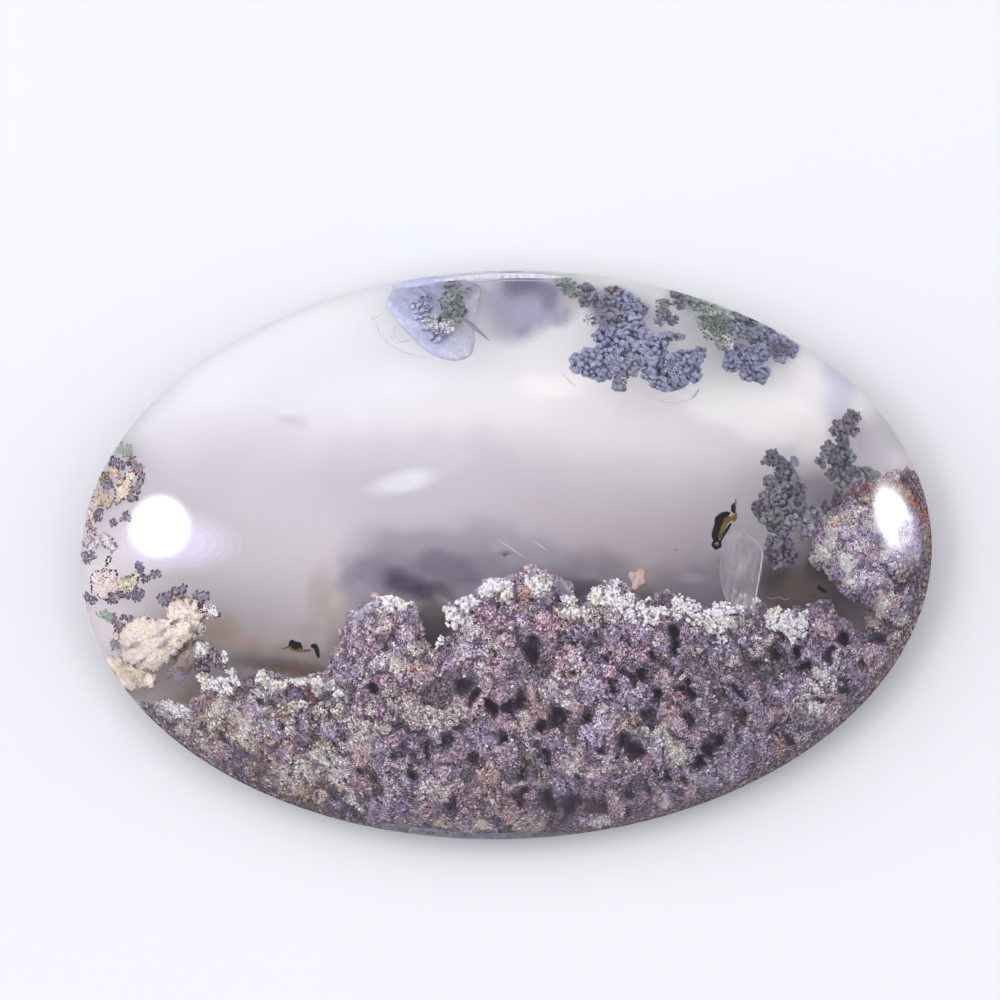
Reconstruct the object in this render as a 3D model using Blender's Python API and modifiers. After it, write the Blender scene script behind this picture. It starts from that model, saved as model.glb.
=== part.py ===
"""Moss agate cabochon: one oval stone with a domed, polished front and a flat, polished back.

The stone lies on its back. Metres, +Z up through the crown of the dome, +X along the long axis.
The origin is the centre of the flat back.
"""
import math

import bpy

# Driving dimensions
LENGTH = 0.030
WIDTH = 0.020
HEIGHT = 0.0065
GIRDLE_TOP = 0.0014
BACK_BEVEL = 0.0004
DOME_FOOT_ANGLE = math.radians(24.0)

# How finely the turned surface is faceted
TURN_STEPS = 128
DOME_RINGS = 22
BEVEL_RINGS = 3
WELD_DISTANCE = 0.000001

# Pale, faintly mauve chalcedony seen through a glossy polish
STONE_COLOUR = (0.70, 0.66, 0.72, 1.0)
STONE_ROUGHNESS = 0.05

COLLECTION_NAME = "moss_agate_cabochon"
STONE_NAME = "cabochon"


def clear_scene():
    """Removes every object that the scene starts with."""
    for scene_object in list(bpy.data.objects):
        bpy.data.objects.remove(scene_object, do_unlink=True)


def stone_material():
    """The stone's own material."""
    material = bpy.data.materials.new(STONE_NAME)
    material.use_nodes = True
    shader = material.node_tree.nodes["Principled BSDF"]
    shader.inputs["Base Color"].default_value = STONE_COLOUR
    shader.inputs["Roughness"].default_value = STONE_ROUGHNESS
    shader.inputs["Metallic"].default_value = 0.0
    return material


def dome_points():
    """The dome from its crown down to the girdle, as (radius, height) pairs.

    It is an arc of an ellipse that stops DOME_FOOT_ANGLE short of upright, so that the dome
    meets the girdle in a low edge, as a lapidary leaves it.
    """
    foot_cos = math.cos(DOME_FOOT_ANGLE)
    foot_sin = math.sin(DOME_FOOT_ANGLE)
    rise = HEIGHT - GIRDLE_TOP
    points = []
    for ring in range(DOME_RINGS + 1):
        share = ring / DOME_RINGS
        angle = math.pi / 2 - share * (math.pi / 2 - DOME_FOOT_ANGLE)
        radius = LENGTH / 2 * math.cos(angle) / foot_cos
        height = GIRDLE_TOP + rise * (math.sin(angle) - foot_sin) / (1 - foot_sin)
        points.append((radius, height))
    points[0] = (0.0, HEIGHT)
    return points


def bevel_points():
    """The rounded lower edge between the girdle and the back, from the outside inwards."""
    points = []
    for ring in range(BEVEL_RINGS + 1):
        angle = math.pi / 2 * ring / BEVEL_RINGS
        radius = LENGTH / 2 - BACK_BEVEL * (1 - math.cos(angle))
        height = BACK_BEVEL * (1 - math.sin(angle))
        points.append((radius, height))
    return points


def stone_profile():
    """Half of the stone's section: down the dome, the girdle and the edge, and in along the back."""
    back_centre = [(0.0, 0.0)]
    return dome_points() + bevel_points() + back_centre


def add_profile_mesh(name, points):
    """A mesh of edges only, through the points in the XZ plane."""
    mesh = bpy.data.meshes.new(name)
    vertices = [(radius, 0.0, height) for radius, height in points]
    edges = [(index, index + 1) for index in range(len(points) - 1)]
    mesh.from_pydata(vertices, edges, [])
    return mesh


def add_stone(collection):
    """The profile turned once around Z, then narrowed across Y to the oval outline."""
    mesh = add_profile_mesh(STONE_NAME, stone_profile())
    mesh.materials.append(stone_material())
    stone = bpy.data.objects.new(STONE_NAME, mesh)
    collection.objects.link(stone)

    turn = stone.modifiers.new("turn", "SCREW")
    turn.axis = "Z"
    turn.angle = 2 * math.pi
    turn.steps = TURN_STEPS
    turn.render_steps = TURN_STEPS
    turn.use_merge_vertices = True
    turn.merge_threshold = WELD_DISTANCE
    turn.use_smooth_shade = True

    stone.scale = (1.0, WIDTH / LENGTH, 1.0)
    return stone


def main():
    clear_scene()
    collection = bpy.data.collections.new(COLLECTION_NAME)
    bpy.context.scene.collection.children.link(collection)
    add_stone(collection)


main()
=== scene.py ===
"""Looks of the moss agate cabochon: a clear polished stone with mossy growths inside it.

Every growth is placed by a pixel of the photograph. A pixel is followed down its line of sight,
bent at the dome as light is, to a stated depth in the stone. Metres, +Z up.
"""
import math

import bpy
import numpy as np
from mathutils import Matrix, Vector


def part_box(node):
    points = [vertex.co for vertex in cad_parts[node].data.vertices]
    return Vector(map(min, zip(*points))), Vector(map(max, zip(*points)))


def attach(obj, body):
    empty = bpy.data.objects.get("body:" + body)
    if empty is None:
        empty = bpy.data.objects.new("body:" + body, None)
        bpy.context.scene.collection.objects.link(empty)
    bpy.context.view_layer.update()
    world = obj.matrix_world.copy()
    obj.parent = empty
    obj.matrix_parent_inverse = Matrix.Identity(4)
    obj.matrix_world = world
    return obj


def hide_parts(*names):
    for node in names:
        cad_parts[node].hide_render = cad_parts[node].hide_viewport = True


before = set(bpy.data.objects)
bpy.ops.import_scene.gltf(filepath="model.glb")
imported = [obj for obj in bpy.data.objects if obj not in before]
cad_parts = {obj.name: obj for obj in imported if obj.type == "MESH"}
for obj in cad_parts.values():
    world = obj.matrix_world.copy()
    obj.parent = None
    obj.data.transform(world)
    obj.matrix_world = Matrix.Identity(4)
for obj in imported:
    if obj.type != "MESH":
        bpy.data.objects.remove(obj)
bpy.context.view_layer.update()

MM = 0.001

# The stone, as the CAD model has it
STONE_LOW, STONE_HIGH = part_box("cabochon")
HALF_LENGTH = (STONE_HIGH.x - STONE_LOW.x) / 2
HALF_WIDTH = (STONE_HIGH.y - STONE_LOW.y) / 2
HEIGHT = STONE_HIGH.z
GIRDLE_TOP = 1.4 * MM
BACK_BEVEL = 0.4 * MM
DOME_FOOT_ANGLE = math.radians(24.0)
STONE_IOR = 1.54

# The clear stone dims what lies in it a little, green the most
ABSORPTION_COLOUR = (0.86, 0.80, 0.86, 1)
ABSORPTION_DENSITY = 15.0

# The photograph: its size, where the stone lies in it, and how far the stone is turned
PHOTO_SIZE = 1000
PIXEL = MM / 28.4
STONE_CENTRE_PX = (505.9, 555.0)
STONE_TURN = math.radians(1.87)
OUTLINE_X_PX = HALF_LENGTH / PIXEL
OUTLINE_Y_PX = HALF_WIDTH / PIXEL

# The camera looks straight down on the stone
LENS_MM = 300.0
SENSOR_MM = 36.0
CAMERA_HEIGHT = GIRDLE_TOP + PHOTO_SIZE * PIXEL * LENS_MM / SENSOR_MM

# How far from the dome the lamps stand that show as highlights, in metres
LAMP_DISTANCE = 0.4

# Growths hardly shine where they touch the stone around them
INNER_SPECULAR = 0.05

# The dome enlarges what lies under it a little, so clusters are built at this scale
CLUSTER_SCALE = 0.92

UP = [0.0, 0.0, 1.0]

random = np.random.default_rng(4144)


def linear(red, green, blue):
    """A colour of the screen, 0 to 255, as the linear values that shaders take."""
    values = np.array([red, green, blue]) / 255
    return np.where(values <= 0.04045, values / 12.92, ((values + 0.055) / 1.055) ** 2.4)


def unit(vectors):
    """The vectors, each brought to length 1."""
    return vectors / np.linalg.norm(vectors, axis=-1, keepdims=True)


def blend(first, second, share):
    """The first value where the share is 0, the second where it is 1."""
    return first * (1 - share) + second * share


def all_facing(direction, count):
    """One direction, once for each of many grains."""
    return np.tile(direction, (count, 1))


# Colours of the moss and of the stone around it
COLOURS = {
    "lavender": linear(152, 144, 163),
    "pale_lavender": linear(187, 182, 198),
    "periwinkle": linear(160, 162, 192),
    "pale_blue": linear(196, 200, 230),
    "lobe_blue": linear(182, 184, 214),
    "grey_blue": linear(140, 142, 160),
    "grey_green": linear(168, 178, 172),
    "sea_grey": linear(134, 136, 143),
    "plume_grey": linear(128, 126, 142),
    "grey": linear(138, 132, 144),
    "green": linear(158, 172, 157),
    "mauve": linear(153, 136, 145),
    "violet": linear(108, 95, 117),
    "slate": linear(84, 78, 104),
    # Painted shade for the crevices and hollows of the bed
    "gap": linear(62, 54, 74),
    # A dull lavender for hazy growths, and the painted shade colour of the bed's hollows
    "haze_and_shade": linear(118, 108, 128),
    "faint": linear(212, 208, 220),
    "cream": linear(216, 206, 180),
    "pale_cream": linear(236, 231, 208),
    "lime_cream": linear(222, 226, 200),
    "white": linear(246, 243, 250),
    "pink": linear(194, 168, 165),
    "pale_pink": linear(238, 222, 224),
    "plum": linear(104, 58, 66),
    "wine": linear(84, 30, 54),
    "orange": linear(226, 128, 84),
    "peach": linear(228, 186, 154),
    "burnt": linear(186, 112, 80),
    "rust": linear(138, 76, 56),
    "tan": linear(176, 150, 124),
    "olive": linear(106, 88, 42),
    "amber": linear(116, 86, 6),
    "olive_grey": linear(152, 142, 122),
    "brown": linear(86, 66, 62),
    "black": linear(9, 5, 4),
}


# Places


def to_stone(px, py):
    """The stone's x and y under a pixel, in the plane of the girdle's top."""
    right = (np.asarray(px, float) - STONE_CENTRE_PX[0]) * PIXEL
    up = (STONE_CENTRE_PX[1] - np.asarray(py, float)) * PIXEL
    cos, sin = math.cos(STONE_TURN), math.sin(STONE_TURN)
    return right * cos + up * sin, up * cos - right * sin


def from_oval(share, angle):
    """The pixel at a share of the way from the stone's centre to its outline, at an angle."""
    right, up = OUTLINE_X_PX * share * np.cos(angle), OUTLINE_Y_PX * share * np.sin(angle)
    cos, sin = math.cos(STONE_TURN), math.sin(STONE_TURN)
    return STONE_CENTRE_PX[0] + right * cos - up * sin, STONE_CENTRE_PX[1] - up * cos - right * sin


def oval_share(px, py):
    """0 at the stone's centre, 1 on its outline, as seen in the photograph."""
    x, y = to_stone(px, py)
    return np.hypot(x / HALF_LENGTH, y / HALF_WIDTH)


def dome_height(x, y):
    """The height of the polished dome over a point of the stone."""
    foot_cos, foot_sin = math.cos(DOME_FOOT_ANGLE), math.sin(DOME_FOOT_ANGLE)
    share = np.minimum(np.hypot(x / HALF_LENGTH, y / HALF_WIDTH), 0.999)
    sine = np.sqrt(1 - (share * foot_cos) ** 2)
    return GIRDLE_TOP + (HEIGHT - GIRDLE_TOP) * (sine - foot_sin) / (1 - foot_sin)


def dome_normal(x, y):
    """The dome's outward normal over a point of the stone."""
    step = 0.01 * MM
    slope_x = (dome_height(x + step, y) - dome_height(x - step, y)) / (2 * step)
    slope_y = (dome_height(x, y + step) - dome_height(x, y - step)) / (2 * step)
    return unit(np.stack([-slope_x, -slope_y, np.ones_like(slope_x)], axis=-1))


CAMERA_X, CAMERA_Y = (float(value) for value in to_stone(PHOTO_SIZE / 2, PHOTO_SIZE / 2))


def face_point(px, py):
    """Where a pixel's line of sight meets the dome, and its direction there."""
    plane_x, plane_y = to_stone(px, py)
    height = np.full_like(plane_x, GIRDLE_TOP)
    for _ in range(5):
        share = (CAMERA_HEIGHT - height) / (CAMERA_HEIGHT - GIRDLE_TOP)
        x = CAMERA_X + (plane_x - CAMERA_X) * share
        y = CAMERA_Y + (plane_y - CAMERA_Y) * share
        height = dome_height(x, y)
    drop = np.full_like(plane_x, GIRDLE_TOP - CAMERA_HEIGHT)
    sight = np.stack([plane_x - CAMERA_X, plane_y - CAMERA_Y, drop], axis=-1)
    return np.stack([x, y, height], axis=-1), unit(sight)


def bent_sight(px, py):
    """Where a pixel's line of sight enters the stone, and its direction inside."""
    px, py = np.atleast_1d(np.asarray(px, float)), np.atleast_1d(np.asarray(py, float))
    point, sight = face_point(px, py)
    normal = dome_normal(point[:, 0], point[:, 1])
    cos_in = -np.sum(sight * normal, axis=1, keepdims=True)
    ratio = 1 / STONE_IOR
    cos_out = np.sqrt(1 - ratio**2 * (1 - cos_in**2))
    return point, ratio * sight + (ratio * cos_in - cos_out) * normal


def inside(px, py, depth):
    """The point that a pixel shows at a depth below the dome, measured along the bent sight line."""
    point, bent = bent_sight(px, py)
    return point + bent * np.broadcast_to(np.asarray(depth, float), len(point))[:, None]


def down_to(px, py, height):
    """The point that a pixel shows at a height over the stone's back."""
    point, bent = bent_sight(px, py)
    return point + bent * ((point[:, 2] - height) / -bent[:, 2])[:, None]


# Patterns


def smoothstep(low, high, values):
    """A soft step: 0 up to low, 1 from high on."""
    share = np.clip((values - low) / (high - low), 0, 1)
    return share * share * (3 - 2 * share)


def noise(px, py, cell, seed):
    """Smooth noise from 0 to 1 over the photograph, with one random value per cell."""
    gx, gy = px / cell, py / cell
    ix, iy = np.floor(gx), np.floor(gy)
    fx, fy = smoothstep(0, 1, gx - ix), smoothstep(0, 1, gy - iy)

    def corner(x, y):
        value = np.sin(x * 127.1 + y * 311.7 + seed * 74.7) * 43758.5453
        return value - np.floor(value)

    top = corner(ix, iy) * (1 - fx) + corner(ix + 1, iy) * fx
    low = corner(ix, iy + 1) * (1 - fx) + corner(ix + 1, iy + 1) * fx
    return top * (1 - fy) + low * fy


def spread_points(low_x, low_y, high_x, high_y, pitch):
    """Points about one pitch apart over a rectangle, in a shaken hexagonal grid."""
    rows = np.arange(low_y, high_y, pitch * 0.866, dtype=float)
    columns = np.arange(low_x, high_x, pitch, dtype=float)
    px, py = np.meshgrid(columns, rows)
    px[1::2] += pitch / 2
    px, py = px.ravel(), py.ravel()
    shake = pitch * 0.42
    return px + random.uniform(-shake, shake, px.size), py + random.uniform(-shake, shake, py.size)


def lump_pattern(px, py, lumps):
    """Round lumps: the height of the highest one, how far it tops the next one, and which it is."""
    best, second, owner = np.zeros_like(px), np.zeros_like(px), np.full(px.shape, -1)
    for index, (x, y, radius) in enumerate(lumps):
        near = np.nonzero(np.abs(px - x) < radius)[0]
        inner = 1 - ((px[near] - x) ** 2 + (py[near] - y) ** 2) / radius**2
        height = np.sqrt(np.maximum(inner, 0))
        higher = height > best[near]
        second[near] = np.maximum(second[near], np.where(higher, best[near], height))
        best[near[higher]] = height[higher]
        owner[near[higher]] = index
    return best, best - second, owner


def oval_reach(px, py, x, y, half_width, half_height):
    """0 at the middle of an oval, 1 on its edge."""
    return np.hypot((px - x) / half_width, (py - y) / half_height)


def oval_box(oval, margin):
    """The rectangle around an oval, with a margin: its low corner and its high one."""
    x, y, half_width, half_height = oval
    wide, high = half_width + margin, half_height + margin
    return x - wide, y - high, x + wide, y + high


def edge_distance(px, py, outline):
    """The distance of each point to a closed outline, above zero inside it."""
    ends = np.roll(outline, -1, axis=0)
    distance = np.full(px.shape, np.inf)
    crossings = np.zeros(px.shape, int)
    for (ax, ay), (bx, by) in zip(outline, ends):
        dx, dy = bx - ax, by - ay
        share = np.clip(((px - ax) * dx + (py - ay) * dy) / (dx * dx + dy * dy), 0, 1)
        distance = np.minimum(distance, np.hypot(px - ax - share * dx, py - ay - share * dy))
        spans = (ay > py) != (by > py)
        crossings += spans & (px < ax + (py - ay) * dx / (dy if dy else 1))
    return np.where(crossings % 2 == 1, distance, -distance)


# Grain shapes, as corners and faces, about radius 1 with +Z outwards


def icosahedron():
    """The twenty-sided solid."""
    golden = (1 + 5**0.5) / 2
    corners = []
    for a in (-1, 1):
        for b in (-golden, golden):
            corners += [(0, a, b), (a, b, 0), (b, 0, a)]
    corners = np.array(corners, float)
    corners /= np.linalg.norm(corners[0])
    edge = min(np.linalg.norm(corners[0] - other) for other in corners[1:])
    faces = []
    for i in range(12):
        for j in range(i + 1, 12):
            for k in range(j + 1, 12):
                sides = [corners[i] - corners[j], corners[j] - corners[k], corners[k] - corners[i]]
                if max(np.linalg.norm(side) for side in sides) < edge * 1.01:
                    outward = np.dot(np.cross(sides[0], sides[1]), corners[i]) > 0
                    faces.append((i, j, k) if outward else (i, k, j))
    return corners, np.array(faces)


def split_once(corners, faces):
    """Each face of a ball split in four, its new corners pushed out to radius 1."""
    corners, seen, smaller = [tuple(c) for c in corners], {}, []

    def middle(i, j):
        key = (min(i, j), max(i, j))
        if key not in seen:
            point = np.add(corners[i], corners[j])
            corners.append(tuple(point / np.linalg.norm(point)))
            seen[key] = len(corners) - 1
        return seen[key]

    for i, j, k in faces:
        a, b, c = middle(i, j), middle(j, k), middle(k, i)
        smaller += [(i, a, c), (j, b, a), (k, c, b), (a, b, c)]
    return np.array(corners), np.array(smaller)


def small_crystal():
    """A double pyramid, for what is only a pixel or two across."""
    reach = 1.15
    corners = reach * np.array([(1, 0, 0), (0, 1, 0), (-1, 0, 0), (0, -1, 0), (0, 0, 1), (0, 0, -1)], float)
    faces = []
    for i in range(4):
        j = (i + 1) % 4
        faces += [(i, j, 4), (j, i, 5)]
    return corners, np.array(faces)


def cup(sides=6):
    """A ring cell: a raised rim around a sunk middle."""
    turns = np.arange(sides) / sides * 2 * math.pi
    rim = [(math.cos(turn), math.sin(turn), 0.3) for turn in turns]
    corners = np.array(rim + [(0, 0, -0.15), (0, 0, -0.8)])
    faces = []
    for i in range(sides):
        j = (i + 1) % sides
        faces += [(i, j, sides), (j, i, sides + 1)]
    return corners, np.array(faces)


def drawn_out(width, length):
    """A grain drawn out along Z to a strand."""
    corners, faces = small_crystal()
    return corners * np.array([width, width, length]), faces


SHAPES = {
    "grain": small_crystal(),
    "knob": split_once(*icosahedron()),
    "cup": cup(),
    "strand": drawn_out(0.42, 2.2),
}

# Every grain is stretched by chance along three axes, and the corners of a knob are pushed in or out
STRETCH_RANGE = (0.72, 1.35)
BUMP_RANGE = (0.74, 1.18)


def turned_frames(normals, lean):
    """Rotation matrices that take +Z to each normal, tilted and spun by chance."""
    count = len(normals)
    outward = unit(normals + random.normal(size=(count, 3)) * lean)
    side = unit(np.cross(outward, random.normal(size=(count, 3))))
    return np.stack([side, np.cross(outward, side), outward], axis=2)


def keep_under_polish(points, gap):
    """Pushes what would stand out of the stone back under its polished surface."""
    bevel_start = 0.975
    x, y, z = points[:, 0], points[:, 1], points[:, 2]
    share = np.hypot(x / HALF_LENGTH, y / HALF_WIDTH)
    pull = np.minimum(1, (1 - gap / HALF_WIDTH) / np.maximum(share, 1e-9))
    x, y = x * pull, y * pull
    z = np.minimum(z, dome_height(x, y) - gap / dome_normal(x, y)[:, 2])
    edge_low = np.maximum(gap, BACK_BEVEL * smoothstep(bevel_start, 1.0, share))
    return np.stack([x, y, np.maximum(z, edge_low)], axis=1)


# Pieces


def new_piece(name, mesh, material):
    """A piece of the looks with its own material, attached to the stone's body."""
    mesh.materials.append(material)
    piece = bpy.data.objects.new(name, mesh)
    bpy.context.scene.collection.objects.link(piece)
    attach(piece, "root")
    return piece


def mesh_from_arrays(name, vertices, triangles):
    """A mesh of triangles, filled quickly from arrays."""
    mesh = bpy.data.meshes.new(name)
    mesh.vertices.add(len(vertices))
    mesh.vertices.foreach_set("co", np.asarray(vertices, np.float32).ravel())
    mesh.loops.add(3 * len(triangles))
    mesh.loops.foreach_set("vertex_index", np.asarray(triangles, np.int32).ravel())
    mesh.polygons.add(len(triangles))
    mesh.polygons.foreach_set("loop_start", np.arange(0, 3 * len(triangles), 3, dtype=np.int32))
    mesh.update(calc_edges=True)
    return mesh


def store_floats(mesh, name, values):
    """One number for each corner, which the materials read by name."""
    attribute = mesh.attributes.new(name, "FLOAT", "POINT")
    attribute.data.foreach_set("value", np.asarray(values, np.float32).ravel())


def store_tints(mesh, tints):
    """One colour for each corner, which the materials read as tint."""
    attribute = mesh.attributes.new("tint", "FLOAT_COLOR", "POINT")
    colours = np.ones((len(tints), 4), np.float32)
    colours[:, :3] = tints
    attribute.data.foreach_set("color", colours.ravel())


def add_grains(name, kind, centres, radii, tints, normals, lean=0.35, redness=0.2, gap=0.05 * MM,
               along=None, material=None):
    """One mesh of many small grains, each with its own size, turn, stretch and tint.

    The corners also say for the material how far up the grain they are (tip), how much they belong
    to a ring cell's sunk core, and how red that core is.
    """
    corners, faces = SHAPES[kind]
    count = len(centres)
    bumps = np.ones((1, 1, 1))
    if kind == "knob":
        bumps = random.uniform(*BUMP_RANGE, (count, len(corners), 1))
    stretch = random.uniform(*STRETCH_RANGE, (count, 1, 3))
    frames = turned_frames(normals if along is None else along, lean)
    turned = np.einsum("nij,nkj->nki", frames, corners[None] * stretch * bumps)
    vertices = (centres[:, None] + turned * radii[:, None, None]).reshape(-1, 3)
    vertices = keep_under_polish(vertices, gap)
    triangles = (faces[None] + len(corners) * np.arange(count)[:, None, None]).reshape(-1, 3)
    mesh = mesh_from_arrays(name, vertices, triangles)

    outward = np.einsum("nki,ni->nk", turned, normals)
    # tip carries the painted shade: low at a grain's foot and in a ring cell's sunk middle, high at its top
    # and on a knob's raised bumps
    if kind == "cup":
        tip = np.full((count, len(corners)), 0.95)
        tip[:, -1] = 0.0
    elif kind == "knob":
        tip = 0.42 + 0.33 * outward + 1.3 * (bumps[:, :, 0] - 0.96)
    else:
        tip = 0.5 + 0.5 * outward
    core = np.zeros((count, len(corners)))
    if kind == "cup":
        core[:, -2] = random.uniform(0.5, 1.0, count)
    is_red = random.random(count) < redness
    red = np.where(is_red, random.uniform(0.75, 1, count), random.uniform(0, 0.6, count))
    store_floats(mesh, "tip", np.clip(tip, 0, 1))
    store_floats(mesh, "core", core)
    store_floats(mesh, "redness", np.repeat(red, len(corners)))
    store_tints(mesh, np.repeat(np.clip(tints, 0, 0.93), len(corners), axis=0))
    if kind == "knob":
        mesh.shade_smooth()
    return new_piece(name, mesh, material or MOSS)


def add_slab(name, material, top, low, shape, cells, tints, wrap=False):
    """A closed body between two sheets of points on one grid, over the chosen cells.

    With wrap, the grid's last column is its first one again.
    """
    height, width = shape
    index = np.arange(height * width).reshape(shape)
    if wrap:
        index[:, -1] = index[:, 0]
    a, b = index[:-1, :-1], index[:-1, 1:]
    c, d = index[1:, 1:], index[1:, :-1]
    below = height * width
    quads = np.stack([a[cells], d[cells], c[cells], b[cells]], axis=1)
    triangles = [quads[:, [0, 1, 2]], quads[:, [0, 2, 3]]]
    under = quads[:, ::-1] + below
    triangles += [under[:, [0, 1, 2]], under[:, [0, 2, 3]]]
    around = np.pad(cells, 1)
    if wrap:
        around[:, 0], around[:, -1] = around[:, -2], around[:, 1]
    for row_step, column_step, first, second in ((-1, 0, b, a), (1, 0, d, c), (0, -1, a, d), (0, 1, c, b)):
        beside = around[1 + row_step:height + row_step, 1 + column_step:width + column_step]
        open_side = cells & ~beside
        p, q = first[open_side], second[open_side]
        triangles += [np.stack([q + below, q, p], axis=1), np.stack([p + below, q + below, p], axis=1)]
    triangles = np.concatenate(triangles)
    used, compact = np.unique(triangles, return_inverse=True)
    mesh = mesh_from_arrays(name, np.concatenate([top, low])[used], compact.reshape(-1, 3))
    store_tints(mesh, np.clip(np.concatenate([tints, tints])[used], 0, 0.95))
    mesh.shade_smooth()
    return new_piece(name, mesh, material)


# Materials


def new_material(name):
    """A material, its node tree and its shader."""
    material = bpy.data.materials.new(name)
    material.use_nodes = True
    tree = material.node_tree
    return material, tree, tree.nodes["Principled BSDF"]


def ramp_node(tree, source, stops):
    """A colour ramp over a socket, with (position, colour) stops."""
    ramp = tree.nodes.new("ShaderNodeValToRGB")
    elements = ramp.color_ramp.elements
    while len(elements) < len(stops):
        elements.new(0.5)
    for element, (position, colour) in zip(elements, stops):
        element.position = position
        element.color = (*colour, 1)
    tree.links.new(source, ramp.inputs["Fac"])
    return ramp.outputs["Color"]


def noise_node(tree, scale, detail):
    """Smooth noise through the object's own space."""
    coordinates = tree.nodes.new("ShaderNodeTexCoord")
    texture = tree.nodes.new("ShaderNodeTexNoise")
    texture.inputs["Scale"].default_value = scale
    texture.inputs["Detail"].default_value = detail
    tree.links.new(coordinates.outputs["Object"], texture.inputs["Vector"])
    return texture.outputs["Fac"]


def attribute_node(tree, name, output):
    """What the mesh's corners store under a name."""
    attribute = tree.nodes.new("ShaderNodeAttribute")
    attribute.attribute_name = name
    return attribute.outputs[output]


def mix_node(tree, kind, factor, first, second):
    """A colour mix. Each input is a socket or a value."""
    mix = tree.nodes.new("ShaderNodeMix")
    mix.data_type = "RGBA"
    mix.blend_type = kind
    sockets = (mix.inputs["Factor"], mix.inputs[6], mix.inputs[7])
    for socket, value in zip(sockets, (factor, first, second)):
        if isinstance(value, bpy.types.NodeSocket):
            tree.links.new(value, socket)
        else:
            socket.default_value = value
    return mix.outputs[2]


def add_bump(tree, shader, height, strength, distance):
    """A fine relief from a noise."""
    bump = tree.nodes.new("ShaderNodeBump")
    bump.inputs["Strength"].default_value = strength
    bump.inputs["Distance"].default_value = distance
    tree.links.new(height, bump.inputs["Height"])
    tree.links.new(bump.outputs["Normal"], shader.inputs["Normal"])


def moss_material(name, foot, tip, full=0.85, mottled=0.2):
    """Moss: each grain has its own tint with painted shade towards its foot, and a ring cell has a dark or
    red core.

    The painted shade runs from foot at a grain's foot to tip at its top; the tint is full from a height up
    the grain, and noise darkens and lightens it by mottled.
    """
    material, tree, shader = new_material(name)
    # Painted shade: dark and a little bluish at each grain's foot, full at its tip
    painted_foot_shade = (foot, foot * 0.93, foot * 1.1)
    shade = ramp_node(tree, attribute_node(tree, "tip", "Fac"), [(0.1, painted_foot_shade), (full, (tip,) * 3)])
    colour = mix_node(tree, "MULTIPLY", 1.0, attribute_node(tree, "tint", "Color"), shade)
    texture = noise_node(tree, 9000, 3)
    mottle = ramp_node(tree, texture, [(0.3, (1 - mottled,) * 3), (0.7, (1 + 0.8 * mottled,) * 3)])
    colour = mix_node(tree, "MULTIPLY", 1.0, colour, mottle)
    core_stops = [
        (0.0, tuple(linear(38, 32, 46))), (0.6, tuple(linear(84, 70, 84))),
        (0.75, tuple(linear(112, 66, 68))), (1.0, tuple(linear(112, 40, 38))),
    ]
    core_colour = ramp_node(tree, attribute_node(tree, "redness", "Fac"), core_stops)
    core_share = ramp_node(tree, attribute_node(tree, "core", "Fac"), [(0.36, (0, 0, 0)), (0.56, (1, 1, 1))])
    colour = mix_node(tree, "MIX", core_share, colour, core_colour)
    tree.links.new(colour, shader.inputs["Base Color"])
    shader.inputs["Roughness"].default_value = 0.6
    shader.inputs["Specular IOR Level"].default_value = INNER_SPECULAR
    add_bump(tree, shader, texture, 0.3, 0.02 * MM)
    return material


def tinted_material(name, scale, low, high, roughness, bump):
    """A skin whose colour comes with the mesh, mottled by noise."""
    material, tree, shader = new_material(name)
    texture = noise_node(tree, scale, 5)
    mottle = ramp_node(tree, texture, [(0.3, (low,) * 3), (0.7, (high,) * 3)])
    colour = mix_node(tree, "MULTIPLY", 1.0, attribute_node(tree, "tint", "Color"), mottle)
    tree.links.new(colour, shader.inputs["Base Color"])
    shader.inputs["Roughness"].default_value = roughness
    shader.inputs["Specular IOR Level"].default_value = INNER_SPECULAR
    add_bump(tree, shader, texture, bump, 0.03 * MM)
    return material


def frost_material():
    """A frosty crystal inside the stone, which lets most of the light through."""
    material, tree, shader = new_material("frosty_crystal")
    texture = noise_node(tree, 3200, 4)
    mottle = ramp_node(tree, texture, [(0.3, (0.88, 0.88, 0.89)), (0.7, (1.0, 1.0, 1.0))])
    colour = mix_node(tree, "MULTIPLY", 1.0, attribute_node(tree, "tint", "Color"), mottle)
    tree.links.new(colour, shader.inputs["Base Color"])
    shader.inputs["Transmission Weight"].default_value = 0.9
    shader.inputs["IOR"].default_value = 1.05
    shader.inputs["Roughness"].default_value = 0.3
    return material


def stone_material():
    """The clear polished chalcedony, with the faint waves of its polish."""
    material, tree, shader = new_material("clear_agate")
    shader.inputs["Base Color"].default_value = (1, 1, 1, 1)
    shader.inputs["Transmission Weight"].default_value = 1.0
    shader.inputs["IOR"].default_value = STONE_IOR
    shader.inputs["Roughness"].default_value = 0.0
    add_bump(tree, shader, noise_node(tree, 260, 2), 0.04, 0.05 * MM)
    absorption = tree.nodes.new("ShaderNodeVolumeAbsorption")
    absorption.inputs["Color"].default_value = ABSORPTION_COLOUR
    absorption.inputs["Density"].default_value = ABSORPTION_DENSITY
    tree.links.new(absorption.outputs["Volume"], tree.nodes["Material Output"].inputs["Volume"])
    return material


# Each of these paints shade at its grains' feet: foot and tip are its painted shade and light
MOSS = moss_material("moss", 0.36, 1.08)
VELVET = moss_material("velvet_moss", 0.3, 0.98, full=0.48, mottled=0.12)
CRUST = moss_material("white_crust", 0.72, 1.05, mottled=0.14)
FEATHER = moss_material("feathery_growth", 0.86, 1.03, mottled=0.06)
GROUND = tinted_material("moss_ground", 2600, 0.55, 1.4, 0.75, 0.5)
SKIN = tinted_material("mineral_skin", 5200, 0.86, 1.1, 0.5, 0.25)
MILK = tinted_material("milky_agate", 420, 0.985, 1.012, 0.6, 0.03)
FROST = frost_material()


# The clear body


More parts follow.
